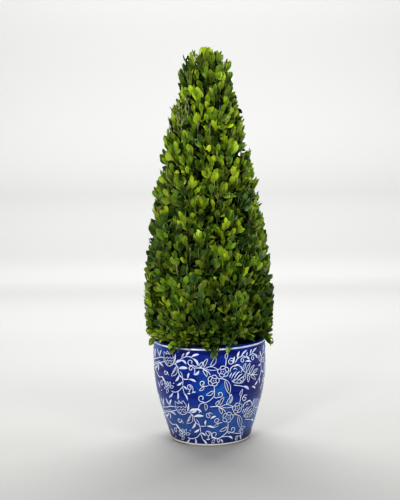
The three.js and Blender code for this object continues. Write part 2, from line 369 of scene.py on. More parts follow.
def arc(centre_r, centre_z, radius, start, end, steps):
    """Points of (radius, height) round part of a circle, with its angles in degrees."""
    angles = [math.radians(lerp(start, end, k / steps)) for k in range(steps + 1)]
    return [(centre_r + radius * math.cos(a), centre_z + radius * math.sin(a)) for a in angles]


foot = arc(FOOT_RADIUS - FOOT_ROUND, FOOT_ROUND, FOOT_ROUND, -90, -12, 7)
wall = [(wall_radius(z), z) for z in np.linspace(FOOT_ROUND, BEND_LOW, 8)]
wall += [(wall_radius(z), z) for z in np.linspace(BEND_LOW, BEND_TOP, 22)[1:]]
lip = arc(RIM_RADIUS - LIP, POT_HEIGHT - LIP, LIP, 0, 180, 14)
inside_heights = np.linspace(BEND_TOP, POT_FLOOR + CORNER_UP, 16)
inside = [(wall_radius(z) - POT_WALL, z) for z in inside_heights]
profile = [(0.0, 0.0)] + foot + wall + lip + inside
profile += [(inside[-1][0] - CORNER_IN, POT_FLOOR), (0.0, POT_FLOOR)]
print(f"pot profile: {len(profile)} points, foot radius {FOOT_RADIUS:.1f} mm")

# %% Pot body
POT_SIDES = 160


def spin_profile(points, sides):
    """Turns a profile of (radius, height) points in millimetres into a closed bmesh."""
    bm = bmesh.new()
    ring = [bm.verts.new((r * MM, 0.0, z * MM)) for r, z in points]
    edges = [bm.edges.new(pair) for pair in zip(ring, ring[1:])]
    bmesh.ops.spin(
        bm, geom=ring + edges, cent=(0, 0, 0), axis=(0, 0, 1),
        angle=2 * math.pi, steps=sides, use_merge=True,
    )
    bmesh.ops.remove_doubles(bm, verts=bm.verts, dist=1e-6)
    bmesh.ops.recalc_face_normals(bm, faces=bm.faces)
    return bm


pot = spin_profile(profile, POT_SIDES)
for face in pot.faces:
    face.material_index = 1 if face.calc_center_median().z < FOOT_LINE * MM else 0
finish_piece(mesh_from(pot, "pot_body"), [cobalt, bare_clay], ["pot"])

# %% [markdown]
# ## A pattern trailed in white slip
# The pattern on a pot like this is an old scroll of vines: curling stems, spindle leaves, round
# five-petalled blossoms, a seed pod and a many-petalled lotus. It is trailed in white slip, which
# stands a little proud and pools at its edges. Every part of it is one kind of line, thick or thin,
# so one tool draws it all. The lines are laid on a flat sheet, u round the pot and v up it, and the
# sheet is wrapped round the wall at the end. A line is a grid six points wide: the outer strips lie
# almost flush and take the darker blue that gathers beside the slip, and the middle is raised.

# %% Slip trailer
sheet = bmesh.new()
across_uv = sheet.loops.layers.uv.new("across")
STRIPS = 5  # strips across a line
STEP = 1.4  # about how far apart its points are
SLIP_HEIGHT = 0.5
FLUSH, EDGE = 0.03, 0.06  # how far the outer strips stand off the wall
CREST = 0.6  # the raised part, as a share of a line's width
HALO = 1.0  # width of the darker blue beside a line
STEM, FINE = 1.2, 0.92  # widths of a stem and of an outline
laid = {}  # the points of each group of motifs
laying = ""  # the group that lines are being added to


def smooth_path(points):
    """Points about a step apart on a smooth curve through a few given ones."""
    knots = [Vector(p) for p in points]
    path = []
    for k, (a, b) in enumerate(zip(knots, knots[1:])):
        before = knots[k - 1] if k else 2 * a - b
        after = knots[k + 2] if k + 2 < len(knots) else 2 * b - a
        steps = max(round((b - a).length / STEP), 2)
        for t in (i / steps for i in range(steps)):
            path.append(0.5 * (
                2 * a + (b - before) * t + (2 * before - 5 * a + 4 * b - after) * t**2
                + (3 * a - before - 3 * b + after) * t**3
            ))
    path.append(knots[-1].copy())
    return path


def square_to(way):
    """A flat direction turned a quarter to the left."""
    return Vector((-way.y, way.x))


def line_width(share):
    """A line's width along it, as a share: it starts and ends fine."""
    return 0.5 + 0.5 * min(1.0, min(share, 1 - share) / 0.12)


def leaf_width(share):
    """A filled leaf's width along it: pointed at both ends, fullest past the middle."""
    return max(math.sin(math.pi * share**1.15), 0.0) ** 0.8 + 0.05


def trail(path, width, swell=line_width, closed=False):
    """Trails one line of slip along a path on the sheet."""
    rows = len(path) - 1
    made = bmesh.ops.create_grid(sheet, x_segments=STRIPS, y_segments=rows, size=1.0)["verts"]
    laid.setdefault(laying, []).extend(made)
    columns = {}
    for vert in made:
        column = round((vert.co.x + 1) * 0.5 * STRIPS)
        row = round((vert.co.y + 1) * 0.5 * rows)
        columns[vert] = column
        ahead_of = path[1] if closed and row == rows else path[min(row + 1, rows)]
        behind = path[-2] if closed and row == 0 else path[max(row - 1, 0)]
        side = square_to((ahead_of - behind).normalized())
        half = 0.5 * width * (1.0 if closed else swell(row / rows))
        crest = CREST * half
        offset = (-half - HALO, -half, -crest, crest, half, half + HALO)[column]
        raised = SLIP_HEIGHT * min(1.0, 0.35 + half / 0.9)
        lift = (FLUSH, EDGE, raised, raised, EDGE, FLUSH)[column]
        place = path[row] + side * offset
        vert.co = (place.x, place.y, lift)
    for face in {face for vert in made for face in vert.link_faces}:
        for loop in face.loops:
            loop[across_uv].uv = (columns[loop.vert] / STRIPS, 0.5)


# %% [markdown]
# ## Motifs
# Each motif is a short recipe of lines: a leaf is one swelling stroke, or an outline; a curl winds
# inwards to a blob; a blossom is a scalloped ring round a star round a dot; a ribbed leaf is an
# outline with slanting barbs. The last helper lays a whole group of them from tables.

# %% Leaves, vines and curls
RIB_FROM = 6  # outlined leaves wider than this have a midrib
WOUND_IN = 0.36  # a curl's inner end, as a share of its radius
SHOULDERS = ((0.22, 0.75), (0.5, 1.0), (0.8, 0.6))  # places along a leaf, and its width there


def flat_way(angle):
    return Vector((math.cos(angle), math.sin(angle)))


def bowed(root, tip, bow):
    """A gently bowed line from root to tip."""
    root, tip = Vector(root), Vector(tip)
    reach = tip - root
    return smooth_path([root, root + reach * 0.5 + square_to(reach) * bow, tip])


def vine(width, *points):
    trail(smooth_path(points), width)


def filled_leaf(root, tip, width=3.2, bow=0.08):
    trail(bowed(root, tip, bow), width, leaf_width)


def outlined_leaf(root, tip, width=4.6, bow=0.1, rib=True):
    root, tip = Vector(root), Vector(tip)
    reach = tip - root
    aside = square_to(reach).normalized() * width / 2
    lean = square_to(reach) * bow
    middle = [root + reach * s + lean * math.sin(math.pi * s) for s, _ in SHOULDERS]
    left = [point + aside * k for point, (_, k) in zip(middle, SHOULDERS)]
    right_side = [point - aside * k for point, (_, k) in zip(middle, SHOULDERS)]
    trail(smooth_path([root, *left, tip]), FINE)
    trail(smooth_path([tip, *reversed(right_side), root]), FINE)
    if rib and width > RIB_FROM:
        trail(bowed(root + reach * 0.15, root + reach * 0.75, bow * 0.6), FINE)


def dot(centre, size=1.9):
    centre = Vector(centre)
    reach = Vector((0, size / 2))
    trail([centre + reach * k for k in (-1, -0.6, 0, 0.6, 1)], size,
          lambda share: math.sqrt(max(1 - (2 * share - 1) ** 2, 0.0)) + 0.02)


def curl(centre, radius, start, turns, hand, *tail):
    """A curl that winds in to a blob, from a start angle in degrees, with a tail leading to it."""
    centre = Vector(centre)
    steps = max(round(turns * 11), 8)
    wound = []
    for k in range(steps + 1):
        angle = math.radians(start) + hand * 2 * math.pi * turns * k / steps
        reach = radius * lerp(1.0, WOUND_IN, (k / steps) ** 1.4)
        wound.append(centre + reach * flat_way(angle))
    trail(smooth_path([*tail, *wound]), STEM)
    dot(wound[-1])


# %% Blossoms, pods and the lotus
CUP = ((-0.95, 0.35), (-1, -0.25), (-0.55, -0.85), (0, -1.0), (0.6, -0.8), (1, -0.2), (0.9, 0.45))
CROWN = ((-0.95, 0.35), (-0.85, 0.95), (-0.45, 0.62), (-0.1, 1.05), (0.2, 0.62), (0.62, 1.0),
         (0.9, 0.45))
HAIR = 0.9  # the finest lines


def ring_path(centre, radius_at, steps):
    angles = [2 * math.pi * k / steps for k in range(steps)]
    points = [Vector(centre) + radius_at(angle) * flat_way(angle) for angle in angles]
    return points + [points[0].copy()]


def blossom(centre, radius, turn):
    """Five round petals about a star, with a dot at its heart."""
    phase = math.radians(turn)

    def scallop(angle):
        return radius * (0.76 + 0.26 * abs(math.cos(2.5 * (angle - phase))) ** 0.7)

    def star(angle):
        return radius * (0.48 + 0.09 * math.cos(5 * (angle - phase) + math.pi))

    trail(ring_path(centre, scallop, 50), 1.05, closed=True)
    trail(ring_path(centre, star, 30), FINE, closed=True)
    for k in range(5):
        notch = flat_way(phase + 2 * math.pi * (k + 0.5) / 5)
        trail([Vector(centre) + notch * radius * s for s in (0.6, 0.66, 0.72, 0.78)], 0.8)
    dot(centre, 1.7)


def lotus(centre, radius, tips):
    """Pointed petals that fan out from a centre; tips gives their angles and lengths."""
    centre = Vector(centre)
    for angle, reach in tips:
        way = flat_way(math.radians(angle))
        outlined_leaf(centre + way * 3.0, centre + way * radius * reach, radius * 0.3, 0.04)
    dot(centre, 2.2)


def seed_pod(centre, width, height, lean):
    """A round pod in a cup, with rows of scales and a torn crown at its top."""
    turned_by = Matrix.Rotation(math.radians(lean), 2)

    def at(x, y):
        return Vector(centre) + turned_by @ Vector((x * width / 2, y * height / 2))

    trail(smooth_path([at(*point) for point in CUP]), STEM)
    for a, b in zip(CROWN, CROWN[1:]):
        trail(smooth_path([at(*a), at(*b)]), FINE)
    for y, scales, reach in ((0.22, 3, 0.62), (-0.16, 3, 0.49), (-0.52, 2, 0.36)):
        for x in np.linspace(-reach, reach, scales):
            trail(smooth_path([at(x - 0.24, y), at(x, y - 0.24), at(x + 0.24, y)]), HAIR)
    trail(bowed(at(-0.5, 0.5), at(0.45, 0.5), 0.2), HAIR)


def ribbed_leaf(root, tip, width, barbs):
    """A broad leaf with barbs that slant from its middle to its edges."""
    outlined_leaf(root, tip, width, 0.05, rib=False)
    root, tip = Vector(root), Vector(tip)
    reach = tip - root
    side = square_to(reach).normalized() * width * 0.4
    for share in np.linspace(0.12, 0.68, barbs):
        full = math.sin(math.pi * (share + 0.17))
        for hand in (-1, 1):
            vine(0.8, root + reach * share, root + reach * (share + 0.17) + side * hand * full)


def lay(group, vines=(), leaves=(), outlines=(), curls=(), blossoms=(), dots=()):
    """Lays a group of the scroll from tables of its motifs, one row for each."""
    global laying
    laying = group
    for motif, table in ((vine, vines), (filled_leaf, leaves), (outlined_leaf, outlines),
                         (curl, curls), (blossom, blossoms)):
        for row in table:
            motif(*row)
    for centre in dots:
        dot(centre)


# %% [markdown]
# ## One set of the scroll
# The scroll is laid out as one set that is about 280 mm long, half way round the rim. A thick
# branch enters on the left and carries the pod. Leaves hang from it down to a lily, an arch of
# spindle leaves stands over it, and a level stem runs on through two blossoms to a broad bud and
# the lotus under a row of curls. The set is laid in groups, because the lower tier repeats some of
# them and not others. A group is a few tables, in millimetres round and up the pot. A vine's row is
# its width and the points it passes; a leaf's is its root, its tip and, where it needs them, its
# width and bow; a curl's is its centre, radius, start angle, turns and hand, then its tail.

# %% Branch, pod, hanging vine and lily
lay(
    "pod and lily",
    vines=(
        (1.6, (-128, 124), (-116, 130), (-103, 133), (-91, 137), (-80, 138)),
        (1.6, (-130, 116), (-115, 121), (-100, 126), (-87, 130), (-78, 133)),
        (0.9, (-124, 121), (-108, 126), (-92, 131)), (STEM, (-59, 131), (-55, 131.5), (-50, 126)),
        (STEM, (-50, 125), (-49.5, 119), (-47, 114.5), (-43.5, 111.5), (-42.6, 106), (-43.5, 99)),
        (FINE, (-46.5, 121.5), (-44, 117), (-42.6, 112)),
        (STEM, (-42.6, 110.3), (-38, 109.8), (-33, 110.6)),
        (STEM, (-44, 98), (-42.8, 93), (-42, 88)),
        (STEM, (-44, 98), (-49, 92), (-53.5, 89), (-60, 87), (-67, 88)),
        (STEM, (-108, 112), (-97, 105), (-86, 107), (-80, 101), (-76, 97)),
    ),
    leaves=(
        ((-93, 138), (-101, 149), 3.0), ((-93, 138), (-87, 149), 3.0),
        ((-112, 133), (-119, 146), 3.0), ((-112, 133), (-108, 147), 3.0),
        ((-95, 127), (-82, 124), 3.0), ((-97, 126), (-99, 114), 3.0),
        ((-99, 125), (-113, 115), 3.0), ((-56.5, 133), (-55, 148), 2.0, 0.0),
        ((-56, 132), (-43, 138.5), 3.7, 0.12), ((-45.5, 139.2), (-36, 133.5), 3.4, 0.14),
        ((-50, 125.5), (-34, 127.5), 4.4, 0.06), ((-48.5, 116), (-56.5, 104.5)),
        ((-44, 105.5), (-54, 98.5)), ((-34, 111), (-31.5, 120.5), 2.7),
        ((-32.5, 110.5), (-21, 107)), ((-43.3, 99), (-36, 93.5), 2.8),
        ((-42.5, 88.5), (-36.5, 76.5), 2.8), ((-53.5, 89), (-55.5, 75.5), 3.0),
        ((-63, 86.5), (-75, 76), 3.0), ((-28.5, 89), (-22, 91), 2.4),
        ((-30.5, 88.5), (-36.5, 87.5), 2.4), ((-32.8, 89.5), (-31.6, 93.5), 1.8),
        ((-88, 107), (-80, 99), 3.4), ((-108, 112), (-116, 119), 2.8), ((-104, 96), (-99, 87), 3.0),
    ),
    outlines=(((-53, 128.5), (-64, 112), 7.0, 0.12),),
    curls=(
        ((-31.5, 97.5), 4.3, 95, 0.92, 1, (-28, 89.5), (-26.3, 94), (-28, 100)),
        ((-90, 96), 4.2, 60, 0.9, 1, (-84, 104)), ((-77, 116), 4.2, 20, 0.92, -1, (-70, 112)),
    ),
    dots=((-58.5, 119.5), (-60, 101), (-94, 84)),
)
seed_pod((-69, 138.5), 22, 23, lean=8)
lotus((-72, 92), 12.5, ((62, 0.95), (18, 0.95), (104, 0.8), (150, 0.95), (190, 1.0), (232, 1.0)))

# %% The arch over the pod
lay(
    "arch",
    vines=(
        (STEM, (-47, 139.5), (-42, 142.5), (-36, 145), (-30, 145.2), (-25.5, 143)),
        (STEM, (-23.5, 128), (-22.5, 123), (-24, 119.5)),
    ),
    leaves=(
        ((-44, 142), (-39, 150), 2.5), ((-37, 145), (-30, 153), 2.9), ((-28, 145), (-15.5, 149.5)),
        ((-25.5, 143), (-17, 131.5), 3.6, 0.14), ((-25, 118), (-16, 124.5), 3.4, -0.2),
    ),
    curls=(
        ((-29, 136.8), 5.2, -50, 0.92, -1, (-19, 131.5), (-23, 130.8)),
        ((-28.5, 127), 4.0, 20, 0.9, 1, (-20, 128.3)),
    ),
)

# %% The level stem, two blossoms, the bud and the lotus
lay(
    "blossoms and lotus",
    vines=(
        (STEM, (-24, 128.3), (-14, 128.7), (-6, 128.4)),
        (STEM, (-11, 128), (-6, 125.5), (-1.5, 122), (1, 117.5)),
        (STEM, (6.5, 99.5), (7, 91), (6, 84.5), (1, 79), (-5, 75.2)),
        (STEM, (24.2, 130), (25, 136), (25.6, 140.5)),
        (STEM, (31, 120.5), (32.5, 126.5), (37, 129.6), (41, 128.6)),
        (STEM, (46, 128.8), (51, 126), (52, 121), (49.5, 118)),
        (FINE, (36.5, 124.5), (40, 126), (43, 123.5)),
        (STEM, (49, 126), (57, 118), (66, 113.3), (75, 110.6), (87, 108.2)),
        (STEM, (38, 99.8), (47, 97.8), (56, 95)), (STEM, (14, 112), (19, 111.5), (24, 109.5)),
    ),
    leaves=(
        ((38, 129.8), (48, 129.6), 2.6), ((30.5, 111.5), (34.5, 119.5), 1.5),
        ((33, 109.5), (42, 121), 1.5), ((37.5, 109), (48.5, 121), 1.5),
        ((42, 108.6), (53, 116), 1.5), ((46.5, 107.6), (57, 110.8), 1.5),
        ((55, 95.5), (67.5, 88.5), 3.8), ((74, 92), (84, 87), 3.0),
    ),
    outlines=(
        ((-6.5, 128.4), (12.5, 126), 5.4, 0.03), ((-13.5, 129.5), (-10.5, 138), 4.0),
        ((-8, 130.5), (-2.5, 143), 4.4), ((-10, 126), (-4.5, 115.5), 4.4),
        ((1, 131), (9, 147), 5.2, -0.12), ((-9, 100), (-16.5, 93.5), 3.8),
        ((5.5, 93), (-6, 86.5), 4.8), ((25.5, 140.5), (28, 151), 4.0),
        ((54, 121), (59.5, 131), 3.8, 0.06), ((60, 117), (68.5, 129.5), 4.4, 0.06),
        ((66, 113.5), (78, 125), 4.4, 0.06), ((73, 111.5), (88, 117.5), 4.0, 0.06),
        ((58, 116), (54, 103), 4.0, 0.06), ((63, 113), (65, 100.5), 4.2, 0.06),
        ((69, 110.5), (82, 101), 4.2, 0.06), ((24, 110), (31, 86), 8.2, 0.02),
        ((31.5, 86), (33, 71), 4.8, 0.15),
    ),
    curls=(
        ((-11, 105), 4.3, -110, 0.9, -1, (-2, 101.5), (-7, 100.5)),
        ((15.3, 87), 4.9, -120, 0.88, 1, (6, 84), (9, 81.3)),
        ((-13.3, 81), 5.6, -70, 0.9, -1, (-1, 77.5), (-5, 75.2), (-9, 74)),
        ((33.2, 136.4), 4.3, 130, 0.92, 1, (38, 141), (33, 141.8)),
    ),
    blossoms=(((20.8, 122.3), 8.7, 100), ((5.5, 109), 8.7, 75)),
    dots=((28.3, 151.5),),
)
ribbed_leaf((34, 106.6), (54, 101.8), 6.2, 3)

# %% The row of curls under the lip
lay(
    "lip row",
    vines=(
        (STEM, (40, 134), (43, 139), (48, 142), (54, 143), (60, 140.5)),
        (STEM, (66, 141.5), (71, 143.2), (76, 143), (82, 140.5)),
    ),
    leaves=(
        ((37.5, 133), (39, 144), 3.0), ((44, 140), (47.5, 151), 3.4), ((50, 142.5), (62, 151), 3.0),
        ((61, 141), (63, 147.5), 2.6), ((60, 141), (67, 135.5), 3.4), ((58, 134), (71, 131.5), 3.0),
        ((69, 143), (72, 151), 2.7), ((72.5, 143.5), (85, 151), 3.0), ((79, 142), (87, 134), 3.4),
    ),
    curls=(
        ((53.5, 136.5), 4.0, 60, 0.92, 1, (60, 140)), ((75, 136.8), 4.2, 60, 0.92, 1, (79, 142)),
    ),
)

# %% The scroll's end, which meets the next set's branch
lay(
    "end vine",
    vines=((STEM, (88, 98), (95, 104), (99, 114), (98, 126), (103, 136), (112, 139)),),
    leaves=(
        ((99, 112), (108, 107)), ((98, 124), (89, 122)), ((101, 134), (95, 144)),
        ((108, 139), (112, 150)), ((94, 103), (95, 93)), ((88, 98), (81, 93)),
    ),
    outlines=(((98, 127), (91, 138), 4.4),),
    curls=(((108, 127), 4.6, 110, 0.98, -1, (98, 122), (102, 130)),),
)
lay(
    "end blossom",
    vines=(
        (STEM, (114, 104), (109, 97), (109, 89)),
        (STEM, (112, 137), (122, 137), (134, 134), (146, 128)),
    ),
    leaves=(
        ((127, 119), (134, 127)), ((126, 136), (121, 146)), ((140, 131), (146, 139), 2.8),
        ((124, 92), (133, 87)),
    ),
    outlines=(((109, 90), (102, 82), 4.4), ((127, 106), (135, 98), 4.4)),
    curls=(
        ((117, 93), 4.4, 200, 0.92, -1, (109, 95)),
        ((138, 110), 4.3, 250, 0.92, 1, (128, 104), (133, 104)),
        ((134, 142), 4.4, 200, 0.92, -1, (124, 136), (128, 140)),
    ),
    blossoms=(((120, 112), 8.8, 60),),
)

# %% Links between the tiers, and curls along the foot
lay(
    "link",
    vines=((STEM, (-9, 74), (-15, 72.5), (-18.5, 68.5), (-19, 65.5), (-23, 62)),),
    leaves=(((-21.5, 62.5), (-33, 56.5), 3.0), ((0, 46.5), (10, 51.5), 3.4)),
    outlines=(((-8, 73), (-7.5, 61), 4.4),),
    curls=(((-3, 52.5), 4.3, 110, 0.92, 1, (4, 55), (1, 57)),),
    dots=((-18.5, 58),),
)
lay(
    "foot curls",
    vines=(
        (STEM, (30, 21), (22, 15.5), (13, 13), (7, 13.5)),
        (STEM, (22, 15.5), (30, 15.5), (37, 15.2)),
        (STEM, (32, 25), (40, 21.8), (50, 19), (60, 17), (70, 17)),
    ),
    leaves=(((20, 12), (26, 4.5), 2.8), ((36, 15.2), (48, 9.2), 3.4), ((65, 13), (72, 4.6), 3.4)),
    outlines=(((8, 12.5), (1.5, 5.5), 4.2), ((60, 20), (76, 26), 5.0)),
    curls=(((17, 9.6), 3.6, 120, 0.88, 1, (20, 14)), ((58, 8.8), 4.2, 60, 0.92, 1, (66, 12))),
)
print("groups:", {name: len(points) for name, points in laid.items()})

# %% [markdown]
# ## Round the pot and down it
# The set stands twice round the rim. Under it comes a lower tier of the same groups. There the wall
# is narrower and the motifs keep their true size, so each takes up more of the turn: every group
# has a pivot, the pivot is set at its new place, and the group spreads from it as the wall draws
# in. What hangs below the foot is cut off. Then every point of the flat sheet is carried to the
# wall.

# %% Wrapped pattern
HALF_ROUND = math.pi * RIM_RADIUS
PATTERN_FOOT = 3.2
LIP_LINE = 2.5  # width of the white line round the lip
LOWER_TIER = (  # group, its pivot, the pivot's new place and how far down it goes
    ("pod and lily", -63.7, -45.2, 75.5),
    ("blossoms and lotus", 0.0, 25.0, 61.0),
    ("end blossom", 124.0, 139.0, 66.0),
)


def lay_copy(name, pivot, place, drop):
    """Lays a copy of a group lower down or further round."""
    points = laid[name]
    edges = dict.fromkeys(edge for vert in points for edge in vert.link_edges)
    faces = dict.fromkeys(face for vert in points for face in vert.link_faces)
    copied = bmesh.ops.duplicate(sheet, geom=[*points, *edges, *faces])["geom"]
    for vert in copied:
        if isinstance(vert, bmesh.types.BMVert):
            vert.co.y -= drop
            spread = RIM_RADIUS / wall_radius(max(vert.co.y, FOOT_ROUND)) if drop else 1.0
            vert.co.x = place + (vert.co.x - pivot) * spread


for name in laid:
    lay_copy(name, 0.0, HALF_ROUND, 0.0)
for half in (0.0, HALF_ROUND):
    for name, pivot, place, drop in LOWER_TIER:
        lay_copy(name, pivot, place + half, drop)
bmesh.ops.bisect_plane(
    sheet, geom=sheet.verts[:] + sheet.edges[:] + sheet.faces[:],
    plane_co=(0, PATTERN_FOOT, 0), plane_no=(0, 1, 0), clear_inner=True,
)
lip_places = [2 * HALF_ROUND * k / POT_SIDES for k in range(POT_SIDES + 1)]
trail([Vector((u, POT_HEIGHT - LIP)) for u in lip_places], LIP_LINE, lambda share: 1.0)

for vert in sheet.verts:
    u, v, lift = vert.co
    angle = u / RIM_RADIUS
    radius = wall_radius(v) + lift
    vert.co = (radius * math.sin(angle) * MM, -radius * math.cos(angle) * MM, v * MM)
bmesh.ops.remove_doubles(sheet, verts=sheet.verts, dist=1e-6)
for face in sheet.faces:
    middle = face.calc_center_median()
    if face.normal.dot(Vector((middle.x, middle.y, 0))) < 0:
        face.normal_flip()
print(f"wrapped round the pot: {len(sheet.faces)} faces")

# %% [markdown]
# ## White slip
# Slip is white clay under the clear glaze: cream where it is thick, lavender where the blue shines
# through its thin edges, and the glaze beside it is darkest. The map drawn with each line says how
# far across it a point is, so the material can follow the line.

# %% White slip
slip, tree = new_material(
    "white_slip", Specular_IOR_Level=0.1, Coat_Weight=0.2, Coat_Roughness=0.1,
)
uneven = place_group(tree, kiln, Patch_size=60.0, Stroke_size=90.0)
from_middle = off_middle(tree, axis_of(tree, own_map(tree, "across"), "X"))
slip_colour = tinted(
    tree, rgb(200, 216, 255),
    (uneven["Patches"], 0.35, 0.65, 1.0, rgb(232, 238, 254)),
    (from_middle, 0.20, 0.29, 1.0, rgb(150, 166, 236)),  # thin edges
    (from_middle, 0.29, 0.32, 1.0, rgb(2, 10, 74)),  # glaze beside the line
)
rough = between(tree, uneven["Strokes"], 0.3, 0.7, 0.25, 0.45)
dress(tree, slip_colour, rough, uneven["Height"], strength=0.15, depth=0.3)
finish_piece(mesh_from(sheet, "pot_pattern"), [slip])

# %% [markdown]
# ## Soil
# Potting soil is a crumbly surface that sinks a little towards the wall. It is spun like the pot,
# with enough rings for crumbs, and its top is then pushed down in places by noise of two sizes.

# %% Soil
earth, tree = new_material("dark_earth", Specular_IOR_Level=0.2)
place = object_place(tree)
crumbs = clouds(tree, place, Scale=260.0, Detail=6.0, Roughness=0.7)
flecks = add_node(tree, "ShaderNodeTexVoronoi", Vector=place, Scale=240.0).outputs["Distance"]
brown = colour_mix(tree, crumbs, rgb(20, 14, 10), rgb(74, 56, 40))
brown = tinted(tree, brown, (flecks, 0.16, 0.08, 1.0, rgb(96, 78, 56)))
dress(tree, brown, between(tree, crumbs, 0.3, 0.7, 0.95, 0.75), crumbs, strength=0.9, depth=1.5)

SOIL_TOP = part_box("soil")[1][2] / MM
SOIL_SINK = 3.0
SOIL_GAP = 0.4  # between the soil and the pot
SOIL_CORNER_UP, SOIL_CORNER_IN = 4.0, 3.5
SOIL_SIDES, SOIL_RINGS = 110, 34
CRUMBS = ((90, 2.0), (330, 1.3))  # how fine the lumps are, and their height in millimetres
CRUMBS_SINK = 1.2
soil_base = POT_FLOOR + SOIL_GAP
side_heights = np.linspace(soil_base + SOIL_CORNER_UP, SOIL_TOP - SOIL_SINK, 12)
soil_side = [(wall_radius(z) - POT_WALL - SOIL_GAP, z) for z in side_heights]
soil_edge = soil_side[-1][0]
inwards = np.linspace(1, 0, SOIL_RINGS)[1:]
soil_top = [(soil_edge * s, SOIL_TOP - SOIL_SINK * s**3) for s in inwards]
soil_floor = [(0, soil_base), (soil_side[0][0] - SOIL_CORNER_IN, soil_base)]
soil = spin_profile(soil_floor + soil_side + soil_top, SOIL_SIDES)
for vert in soil.verts:
    reach = math.hypot(vert.co.x, vert.co.y) / MM
    if vert.co.z > (SOIL_TOP - SOIL_SINK - 0.1) * MM and reach < soil_edge - 1:
        lumps = sum(noise.noise(vert.co * fine) * height for fine, height in CRUMBS)
        vert.co.z += min(lumps - CRUMBS_SINK, 0.0) * MM
finish_piece(mesh_from(soil, "soil_surface"), [earth], ["soil"])

# %% [markdown]
# ## Stem and bark
# An old box stem is pale grey-brown, fluted and finely cracked. The rod follows the source's
# tapering, swaying centre line from the flat cut on the soil, with its flare at the foot. It starts
# as a circle that is extruded ring by ring, and each ring is pushed in and out to make the flutes.

# %% Bark
bark, tree = new_material("box_bark", Specular_IOR_Level=0.25)
place = object_place(tree)
ridges = clouds(
    tree, stretched(tree, place, (1.0, 1.0, 0.22)), Scale=520.0, Detail=5.0, Roughness=0.7,
)
stain = clouds(tree, place, Scale=40.0, Detail=2.0)
wood = tinted(
    tree, rgb(64, 52, 38),
    (ridges, 0.35, 0.65, 1.0, rgb(138, 122, 98)),
    (stain, 0.5, 0.75, 1.0, rgb(98, 104, 70)),
)
dress(tree, wood, between(tree, ridges, 0.3, 0.7, 0.92, 0.7), ridges, strength=0.8, depth=1.0)

# %% Stem
stem_low, stem_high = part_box("stem")
STEM_BASE = stem_low[2] / MM
STEM_TIP = stem_high[2] / MM
STEM_RADIUS, STEM_TIP_RADIUS = 7.5, 2.2
STEM_FLARE, STEM_FLARE_REACH = 6.0, 9.0
STEM_SWAY, STEM_TWIST = 3.0, 5.0
STEM_SIDES, STEM_RINGS = 26, 90
RINGS_LOW = 1.4  # above 1, the rings are closer at the foot
FLUTES, FLUTE_DEPTH, FLUTE_TWIST = 5, 0.07, 0.02
CRACK_DEPTH, CRACKS_ROUND, CRACKS_UP = 0.05, 3, 0.03
BARK_LEVEL = 0.93  # the bark's middle level, as a share of the source's radius


def stem_share(z):
    return (z - STEM_BASE) / (STEM_TIP - STEM_BASE)


def stem_centre(z):
    """The stem's centre line at a height, in millimetres."""
    share = stem_share(z)
    sway = STEM_SWAY * math.sin(math.pi * share)
    return Vector((sway * math.cos(STEM_TWIST * share), sway * math.sin(STEM_TWIST * share), z))


def stem_radius(z):
    flare = STEM_FLARE * math.exp(-(z - STEM_BASE) / STEM_FLARE_REACH)
    return lerp(STEM_RADIUS, STEM_TIP_RADIUS, stem_share(z)) + flare


def rod(sides, rings, foot_closed):
    """A circle extruded ring by ring and closed at its top: the bmesh, and its rings."""
    bm = bmesh.new()
    ring = bmesh.ops.create_circle(
        bm, cap_ends=foot_closed, radius=1.0, segments=sides,
    )["verts"]
    levels = [ring]
    for _ in range(rings):
        edges = [e for e in bm.edges if e.verts[0] in ring and e.verts[1] in ring]
        grown = bmesh.ops.extrude_edge_only(bm, edges=edges)["geom"]
        ring = [part for part in grown if isinstance(part, bmesh.types.BMVert)]
        levels.append(ring)
    open_edges = [e for e in bm.edges if e.is_boundary and e.verts[0] in ring]
    bmesh.ops.contextual_create(bm, geom=open_edges)
    return bm, levels


stem, levels = rod(STEM_SIDES, STEM_RINGS, foot_closed=True)
for number, ring in enumerate(levels):
    z = lerp(STEM_BASE, STEM_TIP, (number / STEM_RINGS) ** RINGS_LOW)
    for vert in ring:
        x, y, _ = vert.co
        angle = math.atan2(y, x)
        flutes = FLUTE_DEPTH * math.sin(FLUTES * angle + z * FLUTE_TWIST)
        grain = Vector((x * CRACKS_ROUND, y * CRACKS_ROUND, z * CRACKS_UP))
        cracks = CRACK_DEPTH * noise.noise(grain)
        radius = stem_radius(z) * (BARK_LEVEL + (flutes + cracks))
        around = Vector((radius * math.cos(angle), radius * math.sin(angle), 0))
        vert.co = (stem_centre(z) + around) * MM
bmesh.ops.recalc_face_normals(stem, faces=stem.faces)
finish_piece(mesh_from(stem, "stem_bark"), [bark], ["stem"])

# %% [markdown]
# ## The crown's outline
# The foliage solids were grown inside one curve: it rounds under at the skirt, rises as a slightly
# bulging cone and closes in a dome. The finer twigs grow inside the same curve, so it is written
# here again with the same named sizes, and measured off in equal steps along its length.

# %% Outline
CROWN_TOP = box_at_load[1][2] / MM
DOME_Z, DOME_RADIUS, DOME_ROUND = 570.0, 38.0, 0.8
WIDEST_Z, WIDEST_RADIUS, BULGE = 205.0, 104.0, 7.5
LOWEST_Z, LOWEST_RADIUS, SKIRT_ROUND = 160.0, 93.0, 0.25
UNDER_REACH, UNDER_CLEAR = 14.0, 3.0  # how soon and how far the reach draws in below the skirt


def bend(a, pull, b, steps):
    """Points from a to b on a curve drawn towards a third point."""
    shares = np.linspace(0.0, 1.0, steps + 1)[:, None]
    a, pull, b = map(np.array, (a, pull, b))
    return (1 - shares) ** 2 * a + 2 * shares * (1 - shares) * pull + shares**2 * b


